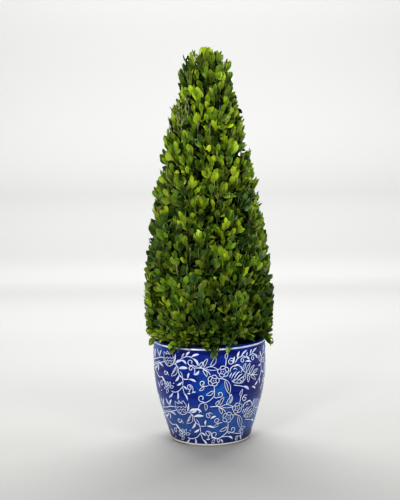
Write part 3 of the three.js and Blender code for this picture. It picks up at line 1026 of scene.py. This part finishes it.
outline = np.concatenate([
    bend((LOWEST_RADIUS, LOWEST_Z), (WIDEST_RADIUS, lerp(LOWEST_Z, WIDEST_Z, SKIRT_ROUND)),
         (WIDEST_RADIUS, WIDEST_Z), 60),
    bend((WIDEST_RADIUS, WIDEST_Z),
         ((WIDEST_RADIUS + DOME_RADIUS) / 2 + 2 * BULGE, (WIDEST_Z + DOME_Z) / 2),
         (DOME_RADIUS, DOME_Z), 160)[1:],
    bend((DOME_RADIUS, DOME_Z), (DOME_RADIUS * DOME_ROUND, CROWN_TOP), (0.0, CROWN_TOP), 60)[1:],
])
steps_along = np.hypot(*np.diff(outline, axis=0).T)
run_along = np.concatenate([[0.0], np.cumsum(steps_along)])
OUTLINE_LENGTH = run_along[-1]


def outline_at(share):
    """(radius, height, outward, upward): a point of the outline and the direction square to it."""
    at = [np.interp(share * OUTLINE_LENGTH + nudge, run_along, outline[:, k])
          for nudge in (-1.0, 0.0, 1.0) for k in (0, 1)]
    along = Vector((at[4] - at[0], at[5] - at[1])).normalized()
    return at[2], at[3], along.y, -along.x


def reach_at(z):
    """How far leaves may stand from the axis at a height."""
    if z < LOWEST_Z:
        share = min((LOWEST_Z - z) / UNDER_REACH, 1.0)
        return lerp(WIDEST_RADIUS, LOWEST_RADIUS, share) - UNDER_CLEAR
    return float(np.interp(z, outline[:, 1], outline[:, 0]))


print(f"crown outline: {OUTLINE_LENGTH:.0f} mm from skirt to top")

# %% [markdown]
# ## Sprays by the source's rule
# The source sets sprigs in rows up the outline, evenly round it, each leaning outwards and upwards
# and each at home in one of the tiers. Here each of those sprigs is a whole spray: a bough that
# leaves the stem lower down and rises to it. The same rows are then laid out again, three times as
# fine round the crown and nearly twice as fine up it, and every fine shoot joins the nearest spray.
# Fine shoots stand more upright than their bough. Those in the middle of their spray reach the
# outline, and those between two sprays fall short of it, which opens the dark hollows that a
# clipped box shows. The lowest shoots come further out, and near the top the hollows are shallow.

# %% Rows of shoots
TIER_TOPS = (232.0, 334.0, 446.0)
TIER_NAMES = ("foliage_skirt", "foliage_lower", "foliage_upper", "foliage_tip")
SPRAY_SPACING, SPRAY_ROW = 39.0, 31.0
FINER_ROUND, FINER_UP = 3.15, 1.8
CORE_DEPTH, SPRIG_ROOT, SHORTEST = 15.0, 7.0, 40.0
SKIRT_SHARE = 0.25
SKIRT_LIFT, BODY_LIFT, TOP_LIFT = 0.35, 1.3, 2.3
TOP_FROM, TOP_OVER = 0.55, 0.45
UPRIGHT_LIFT = 1.15  # what a fine shoot adds to that, above the skirt
UPRIGHT_FROM, UPRIGHT_OVER = 0.05, 0.15
FLATTEST = 0.3  # how nearly along the outline a shoot may be taken to lie
JITTER = math.tan(math.radians(9))
FINE_JITTER = 2.2  # how many times as much a fine shoot's direction varies
FIRST_ROW = 0.35  # the lowest row's place, as a share of a row
WANDER = 0.3
Z_UP = Vector((0, 0, 1))


def lift_at(share):
    """How strongly shoots turn upwards: they droop at the skirt and close up towards the top."""
    if share < SKIRT_SHARE:
        return lerp(SKIRT_LIFT, BODY_LIFT, share / SKIRT_SHARE)
    return lerp(BODY_LIFT, TOP_LIFT, max(share - TOP_FROM, 0.0) / TOP_OVER)


def shoot_at(share, azimuth, chance, fine=False):
    """One shoot that ends at the outline: its tip, its direction, and its root inside."""
    radius, z, outward, upward = outline_at(share)
    out = flat_way(azimuth).to_3d()
    aside = Z_UP.cross(out)
    square = out * outward + Z_UP * upward
    jitter = JITTER * (FINE_JITTER if fine else 1.0) if radius > 1 else 0.0
    lift = lift_at(share)
    if fine:
        lift += UPRIGHT_LIFT * min(max(share - UPRIGHT_FROM, 0.0) / UPRIGHT_OVER, 1.0)
    way = square + Z_UP * lift
    way += aside * jitter * chance.uniform(-1, 1) + Z_UP * jitter * chance.uniform(-1, 1)
    way.normalize()
    full = max((CORE_DEPTH + SPRIG_ROOT) / max(way.dot(square), FLATTEST), SHORTEST)
    tip = out * radius + Z_UP * z
    return {"share": share, "out": out, "tip": tip, "way": way, "square": square,
            "root": tip - way * full}


def rows_of_shoots(spacing, row_height, chance, fine=False):
    shoots = []
    rows = round(OUTLINE_LENGTH / row_height)
    for row in range(rows):
        share = (row + FIRST_ROW) / rows
        count = max(round(2 * math.pi * outline_at(share)[0] / spacing), 1)
        for k in range(count):
            step = k + 0.5 * (row % 2) + WANDER * chance.uniform(-1, 1)
            share_here = min(max(share + WANDER * chance.uniform(-1, 1) / rows, 0.0), 1.0)
            shoots.append(shoot_at(share_here, 2 * math.pi * step / count, chance, fine))
    return shoots


chance = random.Random(7)
sprays = rows_of_shoots(SPRAY_SPACING, SPRAY_ROW, chance)
shoots = rows_of_shoots(SPRAY_SPACING / FINER_ROUND, SPRAY_ROW / FINER_UP, chance, fine=True)
shoots.append(shoot_at(1.0, 0.0, chance))
print(f"{len(sprays)} sprays and {len(shoots)} shoots")

# %% Shoots join sprays
HOLLOW = 23.0  # how far shoots between two sprays stay under the outline
HOLLOW_SHARP = 2.4
SPRAY_REACH = 0.62  # of the space between sprays: beyond it a shoot is in the hollow
CLOSE_FROM, CLOSE_OVER, CLOSE_LEFT = 0.74, 0.12, 0.25  # hollows get shallow near the top
SKIRT_FULLER, FULLER_TO = 6.0, 0.34  # how much further out the lowest shoots come
UNEVEN = (-3.0, 4.0)
spray_tips = np.array([spray["tip"] for spray in sprays])
tones = random.Random(2)


def nearest_spray(tip):
    """The number of the nearest spray, and how far off it is."""
    gaps = np.linalg.norm(spray_tips - np.array(tip), axis=1)
    return int(gaps.argmin()), gaps.min()


for spray in sprays:
    spray["depth"] = chance.uniform(-8.0, 5.0)
    spray["tone"] = tones.random()
for shoot in shoots:
    shoot["spray"], gap = nearest_spray(shoot["tip"])
    home = sprays[shoot["spray"]]
    off_spray = min(gap / (SPRAY_SPACING * SPRAY_REACH), 1.0)
    closing = min(max(shoot["share"] - CLOSE_FROM, 0) / CLOSE_OVER, 1)
    hollow = HOLLOW * off_spray**HOLLOW_SHARP * lerp(1.0, CLOSE_LEFT, closing)
    fuller = SKIRT_FULLER * max(1 - shoot["share"] / FULLER_TO, 0.0)
    shoot["depth"] = home["depth"] + hollow - fuller + chance.uniform(*UNEVEN)
    shoot["root"] = shoot["root"].lerp(home["root"], 0.5)
    shoot["end"] = shoot["tip"] - shoot["way"] * shoot["depth"]
depths = [shoot["depth"] for shoot in shoots]
print(f"shoots end from {min(depths):.0f} to {max(depths):.0f} mm under the outline")

# %% [markdown]
# ## Joined copies
# Thousands of leaves and twigs would be too many objects, and particles aren't kept when the part
# is exported. So each small shape is made once with bmesh, and then its points are worked out for
# every copy in one go with arrays and joined into one mesh. The shape comes back as its points and
# its faces.

# %% One shape, many copies
def shape_of(bm):
    """A small shape's points as an array, and its faces as lists of point numbers."""
    bm.verts.index_update()
    points = np.array([vert.co[:] for vert in bm.verts])
    faces = [[vert.index for vert in face.verts] for face in bm.faces]
    bm.free()
    return points, faces


def join_copies(name, places, faces, uv_name=None, uvs=None):
    """One mesh from copies of a shape: places is (copies, points, 3), in metres."""
    copies, count = places.shape[:2]
    mesh = bpy.data.meshes.new(name)
    corners = np.concatenate(faces)
    sizes = np.array([len(face) for face in faces])
    starts = np.concatenate([[0], np.cumsum(sizes)[:-1]])
    shift = np.arange(copies)[:, None]
    mesh.vertices.add(copies * count)
    mesh.vertices.foreach_set("co", places.astype(np.float32).ravel())
    mesh.loops.add(copies * len(corners))
    mesh.loops.foreach_set("vertex_index", (corners[None] + shift * count).ravel())
    mesh.polygons.add(copies * len(faces))
    mesh.polygons.foreach_set("loop_start", (starts[None] + shift * len(corners)).ravel())
    mesh.update(calc_edges=True)
    if uv_name:
        layer = mesh.uv_layers.new(name=uv_name)
        flat = np.tile(uvs[corners], (copies, 1)).astype(np.float32).ravel()
        layer.uv.foreach_set("vector", flat)
    mesh.validate()
    return mesh


# %% [markdown]
# ## Boughs and twigs
# A twig is a tube of a few sides, extruded from a circle and closed at its tip. Every copy is bent
# along its own path: boughs leave the stem and rise to their spray, and shoots leave the bough and
# curve up to the outline. Boughs are woody, and the year's shoots are pale green. A few strays hang
# over the pot's rim.

# %% Tubes along paths
OFF_AXIS = np.array([0.31, 0.17, 0.93])  # a direction that no twig keeps to
PULL = 0.4  # how far each end steers a curve, as a share of its span


def tube_shape(sides, rings):
    """A tube one unit long up Z, closed at its tip."""
    bm, levels = rod(sides, rings, foot_closed=False)
    for number, ring in enumerate(levels):
        bmesh.ops.translate(bm, verts=ring, vec=(0, 0, number / rings))
    bmesh.ops.recalc_face_normals(bm, faces=bm.faces)
    return shape_of(bm)


def tubes(name, paths, radii, sides, finish):
    """A piece of tubes, each along a path, with its radius at the root and at the end."""
    paths, radii = np.array(paths), np.array(radii)
    rings = paths.shape[1] - 1
    points, faces = tube_shape(sides, rings)
    level = np.rint(points[:, 2] * rings).astype(int)
    along = np.gradient(paths, axis=1)
    along /= np.linalg.norm(along, axis=2, keepdims=True)
    side = np.cross(along, OFF_AXIS)
    side /= np.linalg.norm(side, axis=2, keepdims=True)
    other = np.cross(along, side)
    radius = lerp(radii[:, :1], radii[:, 1:], level[None] / rings)[..., None]
    places = paths[:, level] + radius * (
        side[:, level] * points[None, :, :1] + other[:, level] * points[None, :, 1:2]
    )
    finish_piece(join_copies(name, places * MM, faces), [finish])


def curved_path(start, heading, end, arrival, steps):
    """Points from start to end that set out in one direction and arrive in another."""
    span = (end - start).length
    pull, push = start + heading * span * PULL, end - arrival * span * PULL
    path = []
    for t in np.linspace(0, 1, steps + 1):
        s = 1 - t
        path.append(start * s**3 + pull * 3 * s * s * t + push * 3 * s * t * t + end * t**3)
    return path


# %% Boughs from the stem
BOUGH_RISE = 0.75  # how steeply a bough rises from the stem to its spray
STEM_BARE, STEM_LAST = 14, 12  # lengths at the stem's foot and tip that carry no bough
BOUGH_PAST = 14  # how far a bough runs on into its spray
bough_paths, bough_radii = [], []
for spray in sprays:
    root, way = spray["root"], spray["way"]
    out = Vector((root.x, root.y, 0))
    foot_z = root.z - out.length * BOUGH_RISE
    foot_z = min(max(foot_z, STEM_BASE + STEM_BARE), STEM_TIP - STEM_LAST)
    heading = (out.normalized() * 0.8 + Z_UP * 0.6).normalized() if out.length > 1 else Z_UP
    end = root + way * BOUGH_PAST
    bough_paths.append(curved_path(stem_centre(foot_z), heading, end, way, 7))
    bough_radii.append((lerp(2.6, 1.6, spray["share"]), 0.9))
tubes("boughs", bough_paths, bough_radii, 6, bark)

# %% Green shoots
new_wood, tree = new_material("new_wood", Specular_IOR_Level=0.3)
fibre = clouds(tree, object_place(tree), Scale=160.0, Detail=2.0)
pale_green = tinted(tree, rgb(92, 104, 52), (fibre, 0.35, 0.65, 1.0, rgb(150, 158, 104)))
dress(tree, pale_green, between(tree, fibre, 0.3, 0.7, 0.5, 0.7))

LAST_LEAF = 15.0  # the topmost leaves stand this far beyond the end of the wood
SHOOT_RADII = (0.8, 0.5)
STRAY_ROOT, STRAY_ROOT_Z, STRAY_END, STRAY_OUT = 58.0, 176.0, 93.5, 0.55
STRAYS = (  # strays that hang over the rim: direction in degrees, and height of the end
    (-86, 158), (-70, 163), (-43, 164), (-118, 164), (-12, 162),
    (35, 163), (84, 160), (140, 163), (196, 162), (232, 164),
)
for azimuth, low in STRAYS:
    stray = shoot_at(0.0, math.radians(azimuth), chance)
    stray["way"] = (stray["out"] * STRAY_OUT - Z_UP).normalized()
    stray["end"] = stray["out"] * STRAY_END + Z_UP * (low - 1.0) + stray["way"] * LAST_LEAF
    stray["spray"] = nearest_spray(stray["tip"])[0]
    stray["root"] = stray["out"] * STRAY_ROOT + Z_UP * STRAY_ROOT_Z
    shoots.append(stray)
for shoot in shoots:
    heading = sprays[shoot["spray"]]["way"].lerp(shoot["square"], 0.4).normalized()
    end = shoot["end"] - shoot["way"] * LAST_LEAF
    shoot["path"] = curved_path(shoot["root"], heading, end, shoot["way"], 5)
shoot_paths = [shoot["path"] for shoot in shoots]
tubes("green_shoots", shoot_paths, [SHOOT_RADII] * len(shoots), 3, new_wood)

# %% [markdown]
# ## Bare twigs
# Clippers leave short bare ends all over a box plant, and here and there a dry tuft of them. They
# break the surface between the leaves: most stand with the shoots round them, and those of the
# tuft lie every way.

# %% Bare twigs
SCATTERED, IN_TUFT = 60, 24
SCATTER_SHARES, SCATTER_TURNS = (0.08, 0.9), (0, 360)
TUFT_SHARES, TUFT_TURNS = (0.725, 0.795), (184, 238)
LOOSE, TUFT_LOOSE = 0.2, 0.75  # how far a twig's direction goes towards any way at all
TWIG_RADII = (0.65, 0.45)
places = [(chance.uniform(*SCATTER_SHARES), chance.uniform(*SCATTER_TURNS))
          for _ in range(SCATTERED)]
places += [(chance.uniform(*TUFT_SHARES), chance.uniform(*TUFT_TURNS)) for _ in range(IN_TUFT)]


def any_way(chance, upwards=0):
    """A random direction."""
    return Vector((chance.gauss(0, 1), chance.gauss(0, 1), chance.gauss(upwards, 1))).normalized()


bare_paths = []
for number, (share, azimuth) in enumerate(places):
    twig = shoot_at(share, math.radians(azimuth), chance, fine=True)
    way = twig["way"].lerp(any_way(chance), TUFT_LOOSE if number >= SCATTERED else LOOSE)
    end = twig["tip"] + twig["square"] * chance.uniform(-3, 1.5) - Z_UP * 4
    root = end - twig["way"] * chance.uniform(20, 32)
    bare_paths.append(curved_path(root, twig["square"], end, way.normalized(), 5))
tubes("bare_twigs", bare_paths, [TWIG_RADII] * len(bare_paths), 3, new_wood)

# %% [markdown]
# ## Leaves
# A box leaf is widest past its middle, with a round tip and a short stalk. Here they are 12 to
# 24 mm long. They stand in pairs, each pair turned a quarter from the last, and close up at the end
# of the shoot. Their stalks twist, so that most blades turn their face to the light outside. Each
# leaf is noted as a row of numbers: where it starts, which way it points and faces, its length,
# width, fold and curl. A leaf that would stand too far out is drawn back into the crown, and one
# that would cut the pot is left out. At the thin place on the right, fewer hang over the rim.

# %% Where leaves grow
POT_CLEAR = 2.0
LOWEST_LEAF = 144.0
THIN_PLACE, THIN_WIDTH, THIN_HEIGHT = math.radians(-46), math.radians(24), 8.0
BOX_CLEAR = 1.3
FULL_REACH = min(abs(side) for corner in box_at_load for side in corner[:2]) / MM - BOX_CLEAR
STANDS_OUT = (1.0, 10.0)  # how far single leaves may pass the outline
FOLDS, CURLS = (-0.05, 0.42), (-0.5, 0.75)


def too_far_out(point, stands_out):
    """How far a leaf's tip is past the crown's reach, in millimetres."""
    limit = min(reach_at(point.z) + stands_out, FULL_REACH)
    return math.hypot(point.x, point.y) - limit


def clear_of_pot(point):
    """Whether a point is above the pot's lip, or hangs just outside it."""
    off_thin = abs(math.atan2(point.y, point.x) - THIN_PLACE) / THIN_WIDTH
    thin = THIN_HEIGHT * max(1 - off_thin**3, 0.0)
    if point.z > POT_HEIGHT + POT_CLEAR + thin:
        return True
    outside = math.hypot(point.x, point.y) > RIM_RADIUS + POT_CLEAR
    return outside and point.z > LOWEST_LEAF and not thin


leaves = []
print(f"leaves stay within {FULL_REACH:.1f} mm of the axis")


def add_leaf(start, along, facing, length, width, colour, tier, chance):
    along = along.normalized()
    across = along.cross(facing).normalized()
    face = across.cross(along)
    tip = start + along * length
    out = Vector((tip.x, tip.y, 0)).normalized()
    back = max(too_far_out(tip, chance.uniform(*STANDS_OUT)), 0.0)
    drop = max(tip.z - CROWN_TOP + 0.5, 0.0)
    start = start - out * back - Z_UP * drop
    tip = start + along * length
    if not (clear_of_pot(tip) and clear_of_pot(start.lerp(tip, 0.5))):
        return
    leaves.append((
        *start, *along, *across, *face, length, width,
        chance.uniform(*FOLDS), chance.uniform(*CURLS), colour, tier,
    ))


def tier_of(point):
    return sum(point.z > top + 6 for top in TIER_TOPS)


# %% [markdown]
# ## Colours by spray
# From shoot to shoot a box plant changes colour: fresh growth is bright yellow-green, most is a
# full mid green, older leaves are deep or bluish, and a few turn bronze. Each shoot draws one
# colour for its leaves, led by the tone of its spray, so that colours come in patches, and a leaf
# is now and then a shade off its shoot. Light and shade are painted into that choice as well:
# shoots are painted lighter towards the top and low down on the left, and painted darker, as
# painted shade, low down in the middle and on the right, and a third of the way up on the left.

# %% Colour of a shoot
COLOURS = ("bright", "fresh", "full", "olive", "deep", "inner", "bluish", "bronze")
BRIGHT, FRESH, FULL, OLIVE, DEEP, INNER, BLUISH, BRONZE = range(len(COLOURS))
BRONZE_BELOW, BLUISH_BELOW = 0.002, 0.026  # chances of the two rare colours
OWN_PART, SPRAY_PART = 0.66, 0.34  # what a shoot and its spray give to the colour
FRESHNESS_AND_LIGHT = ((0.88, BRIGHT), (0.64, FRESH), (0.36, FULL), (0.22, OLIVE))
SHADES_OFF, SHADE_WEIGHTS = (-1, 0, 1, 2), (0.18, 0.46, 0.22, 0.14)


def sun_on(out, share):
    """How much lighter a shoot is painted for its side and height: painted light and painted shade.
    """
    in_shade = min(1 + 1.6 * out.x, 1.0) * max(1 - 3 * share, 0.0)
    to_left = max(-out.x, 0.0)
    in_fold = max(1 - ((share - 0.3) / 0.18) ** 2, 0.0)
    at_skirt = max(1 - share / 0.13, 0.0)
    # painted light towards the top and low down on the left; painted shade low down in the middle
    # and on the right, and a third of the way up on the left
    return 0.24 * (share - 0.4) - 0.36 * in_shade + to_left * (0.14 * at_skirt - 0.2 * in_fold)


def colour_of(tone, sun, chance):
    draw = chance.random()
    if draw < BRONZE_BELOW:
        return BRONZE
    if draw < BLUISH_BELOW:
        return BLUISH
    # a shoot's own freshness and its spray's tone, with the painted light and shade of sun_on added
    freshness_and_light = OWN_PART * chance.random() + SPRAY_PART * tone + sun
    for limit, colour in FRESHNESS_AND_LIGHT:
        if freshness_and_light > limit:
            return colour
    return DEEP


def leaf_colour(colour, older_and_shaded, chance):
    """A leaf's colour: its shoot's own, darker lower down the shoot for age and as painted shade,
    and now and then a shade off.
    """
    if colour >= BLUISH:
        return colour
    older_and_shaded += chance.choices(SHADES_OFF, SHADE_WEIGHTS)[0]
    # the darkest leaves, furthest back, take the inner colour, which is painted shade
    return INNER if older_and_shaded > 3 else min(max(colour + older_and_shaded, BRIGHT), DEEP)


# %% Leaves on every shoot
# distance back from the end in mm, splay in degrees, size, how many shades darker: for age, and as
# painted shade deeper in the crown
LEAF_PAIRS = ((0.0, 13, 0.88, 0), (6.5, 26, 1.0, 0), (15.0, 37, 1.03, 1), (25.0, 48, 1.0, 2))
LEAF_LENGTHS, SHOOT_SIZES = (16.5, 21.0), (0.86, 1.12)
LEAF_SLIM, TOP_SLIM, SLIM_VARIES = 0.45, 0.41, (-0.04, 0.05)  # width as a share of length
SPLAY_CLOSED, CLOSED_FROM = 0.62, 0.3  # leaves lie closer to their shoot towards the top
TWIST = math.radians(52)


def place_on(path, back):
    """The point and the direction at a distance back from the end of a path."""
    for a, b in zip(reversed(path[:-1]), reversed(path[1:])):
        span = (b - a).length
        if back <= span:
            return b.lerp(a, back / span), (b - a).normalized()
        back -= span
    return path[0], (path[1] - path[0]).normalized()


chance = random.Random(21)
for shoot in shoots:
    share = shoot["share"]
    closing = lerp(1.0, SPLAY_CLOSED, max(share - CLOSED_FROM, 0.0) / (1 - CLOSED_FROM))
    slim = lerp(LEAF_SLIM, TOP_SLIM, share)
    tier = tier_of(shoot["tip"])
    tone = sprays[shoot["spray"]]["tone"]
    colour = colour_of(tone, sun_on(shoot["out"], share), chance)
    turn = chance.uniform(0, math.pi)
    size = chance.uniform(*SHOOT_SIZES)
    outside = (shoot["out"] + Z_UP * 0.25).normalized()
    for pair, (back, splay, scale, older_and_shaded) in enumerate(LEAF_PAIRS):
        start, way = place_on(shoot["path"], back)
        side = way.orthogonal().normalized()
        for half in (0, 1):
            angle = turn + (pair + 2 * half) * math.pi / 2 + chance.uniform(-0.3, 0.3)
            outwards = Matrix.Rotation(angle, 3, way) @ side
            spread = math.radians(splay * closing + chance.uniform(-9, 9))
            along = way * math.cos(spread) + outwards * math.sin(spread)
            twist = Matrix.Rotation(chance.gauss(0, TWIST), 3, along)
            facing = twist @ (outside - along * outside.dot(along)).normalized()
            length = chance.uniform(*LEAF_LENGTHS) * size * scale
            width = length * (slim + chance.uniform(*SLIM_VARIES))
            shade = leaf_colour(colour, older_and_shaded, chance)
            add_leaf(start, along, facing, length, width, shade, tier, chance)
print(f"{len(leaves)} leaves")

# %% [markdown]
# ## Old leaves inside
# Further in, box keeps its old dark leaves for years. Their colour is painted nearly black, as
# painted shade for the inside of the crown. They close the view through the cone, so that a gap
# between sprays shows that shade and not the room behind.

# %% Inner leaves
INNER_LOW, INNER_TOP = 26, 46  # old leaves on a spray at the skirt and at the top
INNER_ALONG, INNER_SCATTER = (-16, 10), 6
INNER_LENGTHS, INNER_WIDTHS = (14, 18), (8, 10)
STEM_CLEAR = 9
for spray in sprays:
    for _ in range(round(lerp(INNER_LOW, INNER_TOP, spray["share"]))):
        along = any_way(chance, upwards=0.3)
        start = spray["root"] + spray["way"] * chance.uniform(*INNER_ALONG)
        start += Vector([chance.gauss(0, INNER_SCATTER) for _ in range(3)])
        if math.hypot(start.x, start.y) < STEM_CLEAR:
            continue
        length, width = chance.uniform(*INNER_LENGTHS), chance.uniform(*INNER_WIDTHS)
        add_leaf(start, along, along.orthogonal(), length, width, INNER, tier_of(start), chance)
print(f"{len(leaves)} leaves with the inner ones")

# %% [markdown]
# ## The leaf itself
# One leaf starts as a grid two faces wide. Its rows are drawn in to the outline, and its two ends
# close to a point. For each copy the grid's two directions become across and along, the edges are
# folded up from the midrib and the blade curls along its length.

# %% Leaf shape
LEAF_ROWS = (0.0, 0.13, 0.30, 0.50, 0.70, 0.87, 0.965, 1.0)
STALK_HALF = 0.045


def leaf_half_width(share):
    """Half the leaf's width along it, as a share of its full width: blunt tip, narrow base."""
    return 0.5 * max(math.sin(math.pi * share**1.42), 0.0) ** 0.74


leaf = bmesh.new()
bmesh.ops.create_grid(leaf, x_segments=2, y_segments=len(LEAF_ROWS) - 1, size=1.0)
for vert in leaf.verts:
    row = round((vert.co.y + 1) / 2 * (len(LEAF_ROWS) - 1))
    half = leaf_half_width(LEAF_ROWS[row]) if row else STALK_HALF
    vert.co = (vert.co.x * half, LEAF_ROWS[row], 0.0)
bmesh.ops.remove_doubles(leaf, verts=leaf.verts, dist=1e-4)
bmesh.ops.recalc_face_normals(leaf, faces=leaf.faces)
leaf_points, leaf_faces = shape_of(leaf)
edge_side = np.sign(leaf_points[:, 0]) * (np.abs(leaf_points[:, 0]) > 1e-6)
leaf_uv = np.stack([0.5 + 0.5 * edge_side, leaf_points[:, 1]], axis=1)
print(f"one leaf: {len(leaf_points)} points, {len(leaf_faces)} faces")


def leaf_places(rows):
    """Where the points of each leaf go, in metres."""
    start, along, across, face = (rows[:, k:k + 3][:, None] for k in (0, 3, 6, 9))
    length, width, fold, curl_by = (rows[:, k][:, None, None] for k in (12, 13, 14, 15))
    x, y = leaf_points[None, :, :1], leaf_points[None, :, 1:2]
    run = length * (y - curl_by**2 * y**3 / 6)
    rise = -length * curl_by * y**2 / 2 * 0.6
    lifted = rise + fold * np.abs(x) * width
    return (start + along * run + across * x * width + face * lifted) * MM


# %% [markdown]
# ## Leaf colours
# All the leaf materials share one node group, which holds what every box leaf has: a paler midrib,
# a thin pale rim, a darker base and faint clouding from leaf to leaf. The rim is partly the leaf's
# own paler margin and partly a painted highlight where the edge catches the light. Each material
# gives it its own three colours. How strongly they mirror is a plain number on each shader, since
# it is the same all over.

# %% Leaf group
blade, blade_in, blade_out = new_group(
    "box_leaf",
    takes=[("Leaf", "Color", (0.1, 0.2, 0.01, 1)), ("Shade", "Color", (0.05, 0.1, 0.01, 1)),
           ("Rim", "Color", (0.3, 0.4, 0.1, 1))],
    gives=[("Colour", "Color"), ("Roughness", "Float"), ("Height", "Float")],
)
blade_map = own_map(blade, "blade")
from_rib = off_middle(blade, axis_of(blade, blade_map, "X"))
up_leaf = axis_of(blade, blade_map, "Y")
clouding = clouds(blade, object_place(blade), Scale=85.0, Detail=2.0)
shade, rim = blade_in.outputs["Shade"], blade_in.outputs["Rim"]
colour = tinted(
    blade, blade_in.outputs["Leaf"],
    (clouding, 0.38, 0.66, 1.0, shade),
    (up_leaf, 0.55, 0.05, 0.75, shade),  # base
    (from_rib, 0.045, 0.0, 0.55, rim),  # midrib
    # rim: the leaf's paler margin, and a painted highlight where the edge catches the light
    (from_rib, 0.40, 0.5, 0.75, rim),
)
veins = arithmetic(blade, "MULTIPLY", from_rib, 1.6)
give(
    blade, blade_out, Colour=colour, Roughness=between(blade, clouding, 0.3, 0.7, 0.24, 0.38),
    Height=arithmetic(blade, "ADD", veins, clouding),
)

# %% Leaf materials
LEAF_TONES = {  # leaf, shade, rim
    "bright": ((168, 192, 28), (134, 162, 14), (196, 208, 90)),
    "fresh": ((142, 170, 18), (102, 134, 10), (182, 198, 86)),
    "full": ((100, 138, 14), (70, 102, 8), (150, 174, 72)),
    "olive": ((102, 118, 20), (68, 84, 12), (144, 154, 76)),
    "deep": ((50, 80, 12), (30, 52, 8), (98, 124, 52)),
    # inner: old leaves, painted nearly black as painted shade inside the crown
    "inner": ((26, 42, 8), (16, 28, 5), (52, 70, 26)),
    "bluish": ((70, 108, 44), (48, 80, 30), (120, 146, 90)),
    "bronze": ((126, 106, 28), (94, 78, 18), (158, 142, 72)),
}
leaf_materials = []
for name in COLOURS:
    material, tree = new_material(f"leaf_{name}", Specular_IOR_Level=0.2)
    leaf_tone, shade, rim = (rgb(*tone) for tone in LEAF_TONES[name])
    placed = place_group(tree, blade, Leaf=leaf_tone, Shade=shade, Rim=rim)
    dress(tree, placed["Colour"], placed["Roughness"], placed["Height"], strength=0.25, depth=0.5)
    leaf_materials.append(material)

# %% Leaf pieces, one for each tier and colour
COLOUR_COLUMN, TIER_COLUMN = 16, 17
leaf_rows = np.array(leaves)
for tier, node in enumerate(TIER_NAMES):
    for number, colour_name in enumerate(COLOURS):
        mine = leaf_rows[
            (leaf_rows[:, TIER_COLUMN] == tier) & (leaf_rows[:, COLOUR_COLUMN] == number)
        ]
        if not len(mine):
            continue
        name = f"leaves_{node.split('_')[1]}_{colour_name}"
        mesh = join_copies(name, leaf_places(mine), leaf_faces, "blade", leaf_uv)
        finish_piece(mesh, [leaf_materials[number]], [node])

# %% [markdown]
# ## Floor and light
# The plant stands on a plain pale floor that curves up into a backdrop, so that no line runs behind
# it. The sweep is a grid whose far part is bent upwards. Five soft lights copy a bright room. A
# long one behind the plant stands for a curtained window: it brightens the edges and lays a soft
# shadow forwards on the floor. Two small ones in front, the left one stronger, light the leaves and
# the glaze, and leave the inside of the cone dark. One more hangs from the ceiling and one shines
# on the backdrop. The sweep's grey changes with the distance behind the plant, so that the long
# light doesn't leave a bright band on it.

# %% Sweep
SWEEP_HALF = 2.5  # half the grid, before it is stretched
SWEEP_WIDER, SWEEP_LONGER, SWEEP_FRONT = 1.6, 1.5, -3.4
BEND_START, BEND_REACH = 1.7, 0.8
# the sweep's greys: where each starts and is full, in metres behind the plant
GREYS = ((0.06, 0.34, 122), (0.4, 0.8, 117), (1.4, 1.9, 142), (1.9, 2.45, 181))

paper, tree = new_material("pale_sweep", Roughness=0.9, Specular_IOR_Level=0.1)
place = object_place(tree)
mottle = clouds(tree, place, Scale=3.0, Detail=2.0)
behind = axis_of(tree, place, "Y")
pale = colour_mix(tree, mottle, rgb(121, 121, 119), rgb(129, 129, 127))
for start, end, grey in GREYS:
    pale = tinted(tree, pale, (behind, start, end, 1.0, rgb(grey, grey, grey - 1)))
dress(tree, pale)

sweep = bmesh.new()
bmesh.ops.create_grid(sweep, x_segments=2, y_segments=60, size=SWEEP_HALF)
for vert in sweep.verts:
    vert.co.y = (vert.co.y + SWEEP_HALF) * SWEEP_LONGER + SWEEP_FRONT
    past = vert.co.y - BEND_START
    if past > 0:
        turn = min(past / BEND_REACH, math.pi / 2)
        rise = max(past - BEND_REACH * math.pi / 2, 0.0)
        vert.co.y = BEND_START + BEND_REACH * math.sin(turn)
        vert.co.z = BEND_REACH * (1 - math.cos(turn)) + rise
    vert.co.x *= SWEEP_WIDER
sweep_mesh = mesh_from(sweep, "sweep")
sweep_mesh.polygons.foreach_set("use_smooth", [True] * len(sweep_mesh.polygons))
sweep_mesh.materials.append(paper)
floor = put_in_scene("sweep", sweep_mesh)
floor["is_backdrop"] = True
print(f"sweep: {len(sweep_mesh.polygons)} faces")

# %% Lights
def soft_light(name, place, towards, width, height, power):
    """An area light of a width and height in metres, turned towards a point."""
    light = bpy.data.lights.new(name, "AREA")
    light.shape = "RECTANGLE"
    light.size, light.size_y = width, height
    light.energy = power
    lamp = put_in_scene(name, light)
    lamp.location = place
    lamp.rotation_euler = (Vector(towards) - Vector(place)).to_track_quat("-Z", "Y").to_euler()
    print(f"light: {name}, {power:.0f} W")


soft_light("curtain", (0.0, 1.45, 1.45), (0, -0.6, 0.1), 3.0, 0.9, 155.0)
soft_light("from_left", (-0.85, -1.75, 1.35), (0, 0, 0.35), 0.35, 0.35, 31.0)
soft_light("from_right", (1.2, -1.4, 1.5), (0, 0, 0.4), 0.5, 0.5, 21.0)
soft_light("ceiling", (0.0, -0.8, 2.8), (0, 1.5, 0.6), 1.2, 1.2, 42.0)
soft_light("on_backdrop", (0.0, 1.2, 2.4), (0, 2.5, 0.5), 3.0, 0.3, 88.0)

world = bpy.data.worlds.new("room")
world.use_nodes = True
room = world.node_tree.nodes["Background"].inputs
room["Color"].default_value = (0.95, 0.97, 1.0, 1.0)
room["Strength"].default_value = 0.25
bpy.context.scene.world = world
bpy.context.scene.view_settings.view_transform = "Standard"

# %% [markdown]
# ## The sizes
# The dressed plant has to stay inside the box of the imported solids.

# %% Sizes and finish
bpy.context.view_layer.update()
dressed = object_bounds()
for word, box in (("packed", box_at_load), ("dressed", dressed)):
    print(word, [[round(float(x) / MM, 1) for x in corner] for corner in box])
